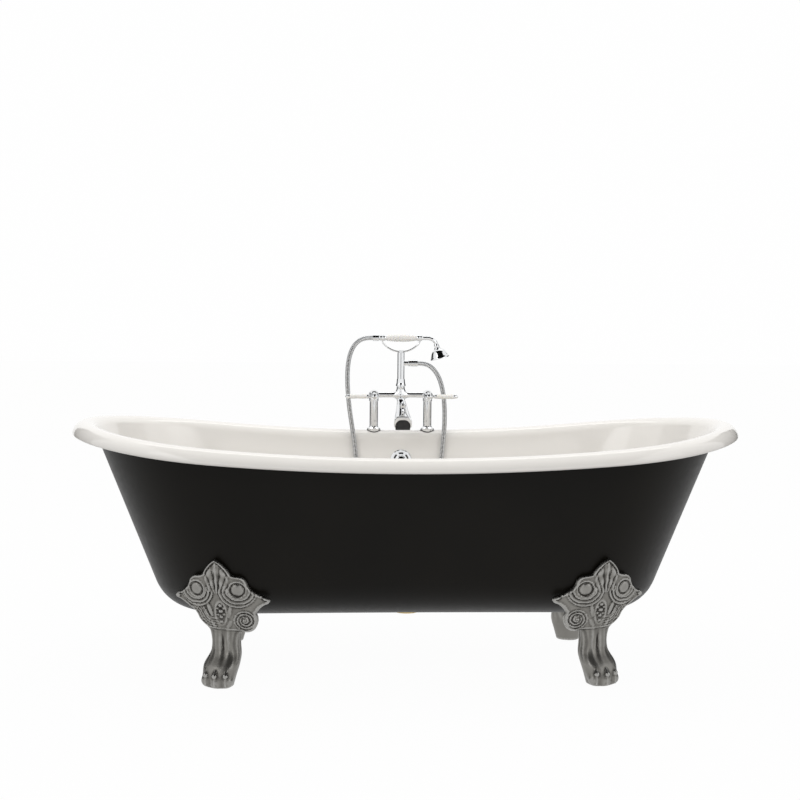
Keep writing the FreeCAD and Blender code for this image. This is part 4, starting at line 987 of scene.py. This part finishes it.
def make_mixer():
    """The mixer's casting, with smooth fillets where the crossbar meets the upright."""
    low = (-93.0, 304.0, 624.0)
    x, y, z = grid(low, (93.0, 356.0, 694.0), CASTING_STEP)
    dy, dz = y - RIM_Y, z - BAR_HEIGHT
    bar = np.maximum(np.hypot(dy, dz) - BAR_RADIUS, np.abs(x) - LEG_X)
    post = np.hypot(x, dy) - np.interp(dz, POST_HEIGHTS, POST_RADII)
    field = smooth_min(bar, post, 15.0)
    field = np.maximum(field, np.maximum(POST_HEIGHTS[0] - dz, dz - POST_HEIGHTS[-1]))
    # at each leg: a ball, a neck to the front for the valve, and a socket down to the leg
    beside = np.abs(x) - LEG_X
    ball = np.sqrt(beside ** 2 + dy ** 2 + dz ** 2) - BALL_RADIUS
    neck = np.maximum(np.hypot(beside, dz) - VALVE_NECK_RADIUS, np.maximum(dy, -VALVE_NECK_REACH - dy))
    socket = np.maximum(np.hypot(beside, dy) - SOCKET_RADIUS, np.maximum(-SOCKET_DEPTH - dz, dz))
    for part, blend in ((ball, 2.5), (neck, 2.0), (socket, 2.0)):
        field = smooth_min(field, part, blend)
    add_casting("mixer_casting", field, low, "chrome", ["mixer_body"])


def make_spout():
    """The spout, with its arched mouth in the nose and a dark plate behind it as painted shade inside the
    mouth.
    """
    low = (-28.0, 207.0, 574.0)
    x, y, z = grid(low, (28.0, 330.0, 664.0), CASTING_STEP)
    root, nose = SPOUT_STATIONS[0], SPOUT_STATIONS[-1]
    nose_bottom = BAR_HEIGHT + SPOUT_BOTTOM[-1]
    forwards = RIM_Y - y
    bottom = BAR_HEIGHT + np.interp(forwards, SPOUT_STATIONS, SPOUT_BOTTOM)
    top = BAR_HEIGHT + np.interp(forwards, SPOUT_STATIONS, SPOUT_TOP)
    half = np.interp(forwards, SPOUT_STATIONS, SPOUT_HALF_WIDTH)
    rounding = np.minimum(half, (top - bottom) / 2) * np.interp(forwards, (root, nose), (0.55, 0.75))
    field = rounded_box(x, z - (top + bottom) / 2, half, (top - bottom) / 2, rounding)
    field = smooth_max(field, forwards - nose, 1.5)
    field = np.maximum(field, root - forwards)
    mouth = rounded_box(x, z - nose_bottom - MOUTH_RISE, MOUTH_HALF_WIDTH, MOUTH_HALF_HEIGHT, MOUTH_CORNER)
    inwards = nose - forwards - MOUTH_DEPTH
    outlet = np.hypot(x, y - OUTLET_Y) - OUTLET_RADIUS
    field = smooth_max(field, -np.maximum(mouth, inwards), 1.0)
    field = np.maximum(field, -np.maximum(outlet, z - nose_bottom - OUTLET_TOP))
    add_casting("spout_casting", field, low, "chrome", ["spout"])
    # painted shade: a thin dark plate at the mouth's depth stands for the shade inside the spout, with small
    # gaps to the mouth's edge and the outlet
    plate = smooth_max(np.maximum(mouth + 0.4, np.abs(inwards) - 1.0), nose_bottom + 0.4 - z, 0.5)
    add_casting("spout_mouth_shade", np.maximum(plate, 0.3 - outlet), low, "rubber")


def make_neck():
    """The hand shower's neck: a collar at the grip, then a slim arc to the rose."""
    level = [(x, RIM_Y, HANDSET_HEIGHT) for x in (43, 62, 80)]
    path, _ = even_points(route_line(level + [(93, RIM_Y, 819.0), (97.5, RIM_Y, 811.5), ROSE_SEAT]), 0.5 * MM)
    radii = np.interp(lengths_along(path) / MM, NECK_LENGTHS, NECK_RADII)
    vertices, faces = tube_mesh(path, radii * MM, 32)
    add_piece("handset_arc", vertices, faces, "hand_shower", "chrome", ["handset_neck"])


def make_rose():
    """The rose's cup: a narrow collar that opens into a round bell."""
    tilt = math.radians(ROSE_TILT)
    spray = np.array((math.sin(tilt), 0.0, -math.cos(tilt)))
    depth = np.linspace(0.0, ROSE_DEPTHS[-1], 63)
    radii = averaged(np.interp(depth, ROSE_DEPTHS, ROSE_RADII), 2)
    path = np.array(ROSE_SEAT) * MM + spray * depth[:, None] * MM
    vertices, faces = tube_mesh(path, radii * MM, 48)
    add_piece("rose_cup", vertices, faces, "hand_shower", "chrome", ["rose_bell"])


def make_overflow_seal():
    """A rubber seal behind the slots of the overflow's plate, dark so that the slots show painted shade."""
    seat, out = overflow_axis()
    across = Vector((1, 0, 0))
    up = across.cross(out)
    (inner, outer), (front, back) = SEAL_SHADE_RADII, SEAL_SHADE_DEPTHS
    sides = 64
    vertices = []
    for radius, depth in ((inner, back), (outer, back), (outer, front), (inner, front)):
        for i in range(sides):
            angle = 2 * math.pi * i / sides
            around = across * math.cos(angle) + up * math.sin(angle)
            vertices.append(seat + around * radius * MM + out * depth * MM)
    add_piece("overflow_seal_shade", vertices, ring_faces(4, sides, closed=True), "tub", "rubber", smooth=False)


# ================================================================ making
bpy.context.scene.view_settings.view_transform = "Standard"
make_camera()
make_world()
make_floor()
area_light("key", (-2.6, -3.4, 3.6), (3.0, 2.2), 26)
area_light("fill", (3.2, -2.8, 2.6), (2.4, 2.4), 12)
area_light("top", (0, 0.4, 4.2), (4.0, 3.0), 56)
for side in (-1, 1):
    dark_panel("dark_side_%d" % (side + 1), [
        (side * 2.4, 0.45, 0.0), (side * 2.4, 2.9, 0.0), (side * 2.4, 2.9, 2.4), (side * 2.4, 0.45, 2.4)])
dark_panel("dark_over", [(-1.6, -4.6, 2.3), (1.6, -4.6, 2.3), (1.6, 0.7, 3.0), (-1.6, 0.7, 3.0)])
dark_panel("dark_front", [(-0.85, -4.3, 0.25), (0.40, -4.3, 0.25), (0.40, -4.3, 1.1), (-0.85, -4.3, 1.1)])
dress_nodes()
make_hose()
make_tub()
make_feet()
make_mixer()
make_spout()
make_neck()
make_rose()
make_overflow_seal()
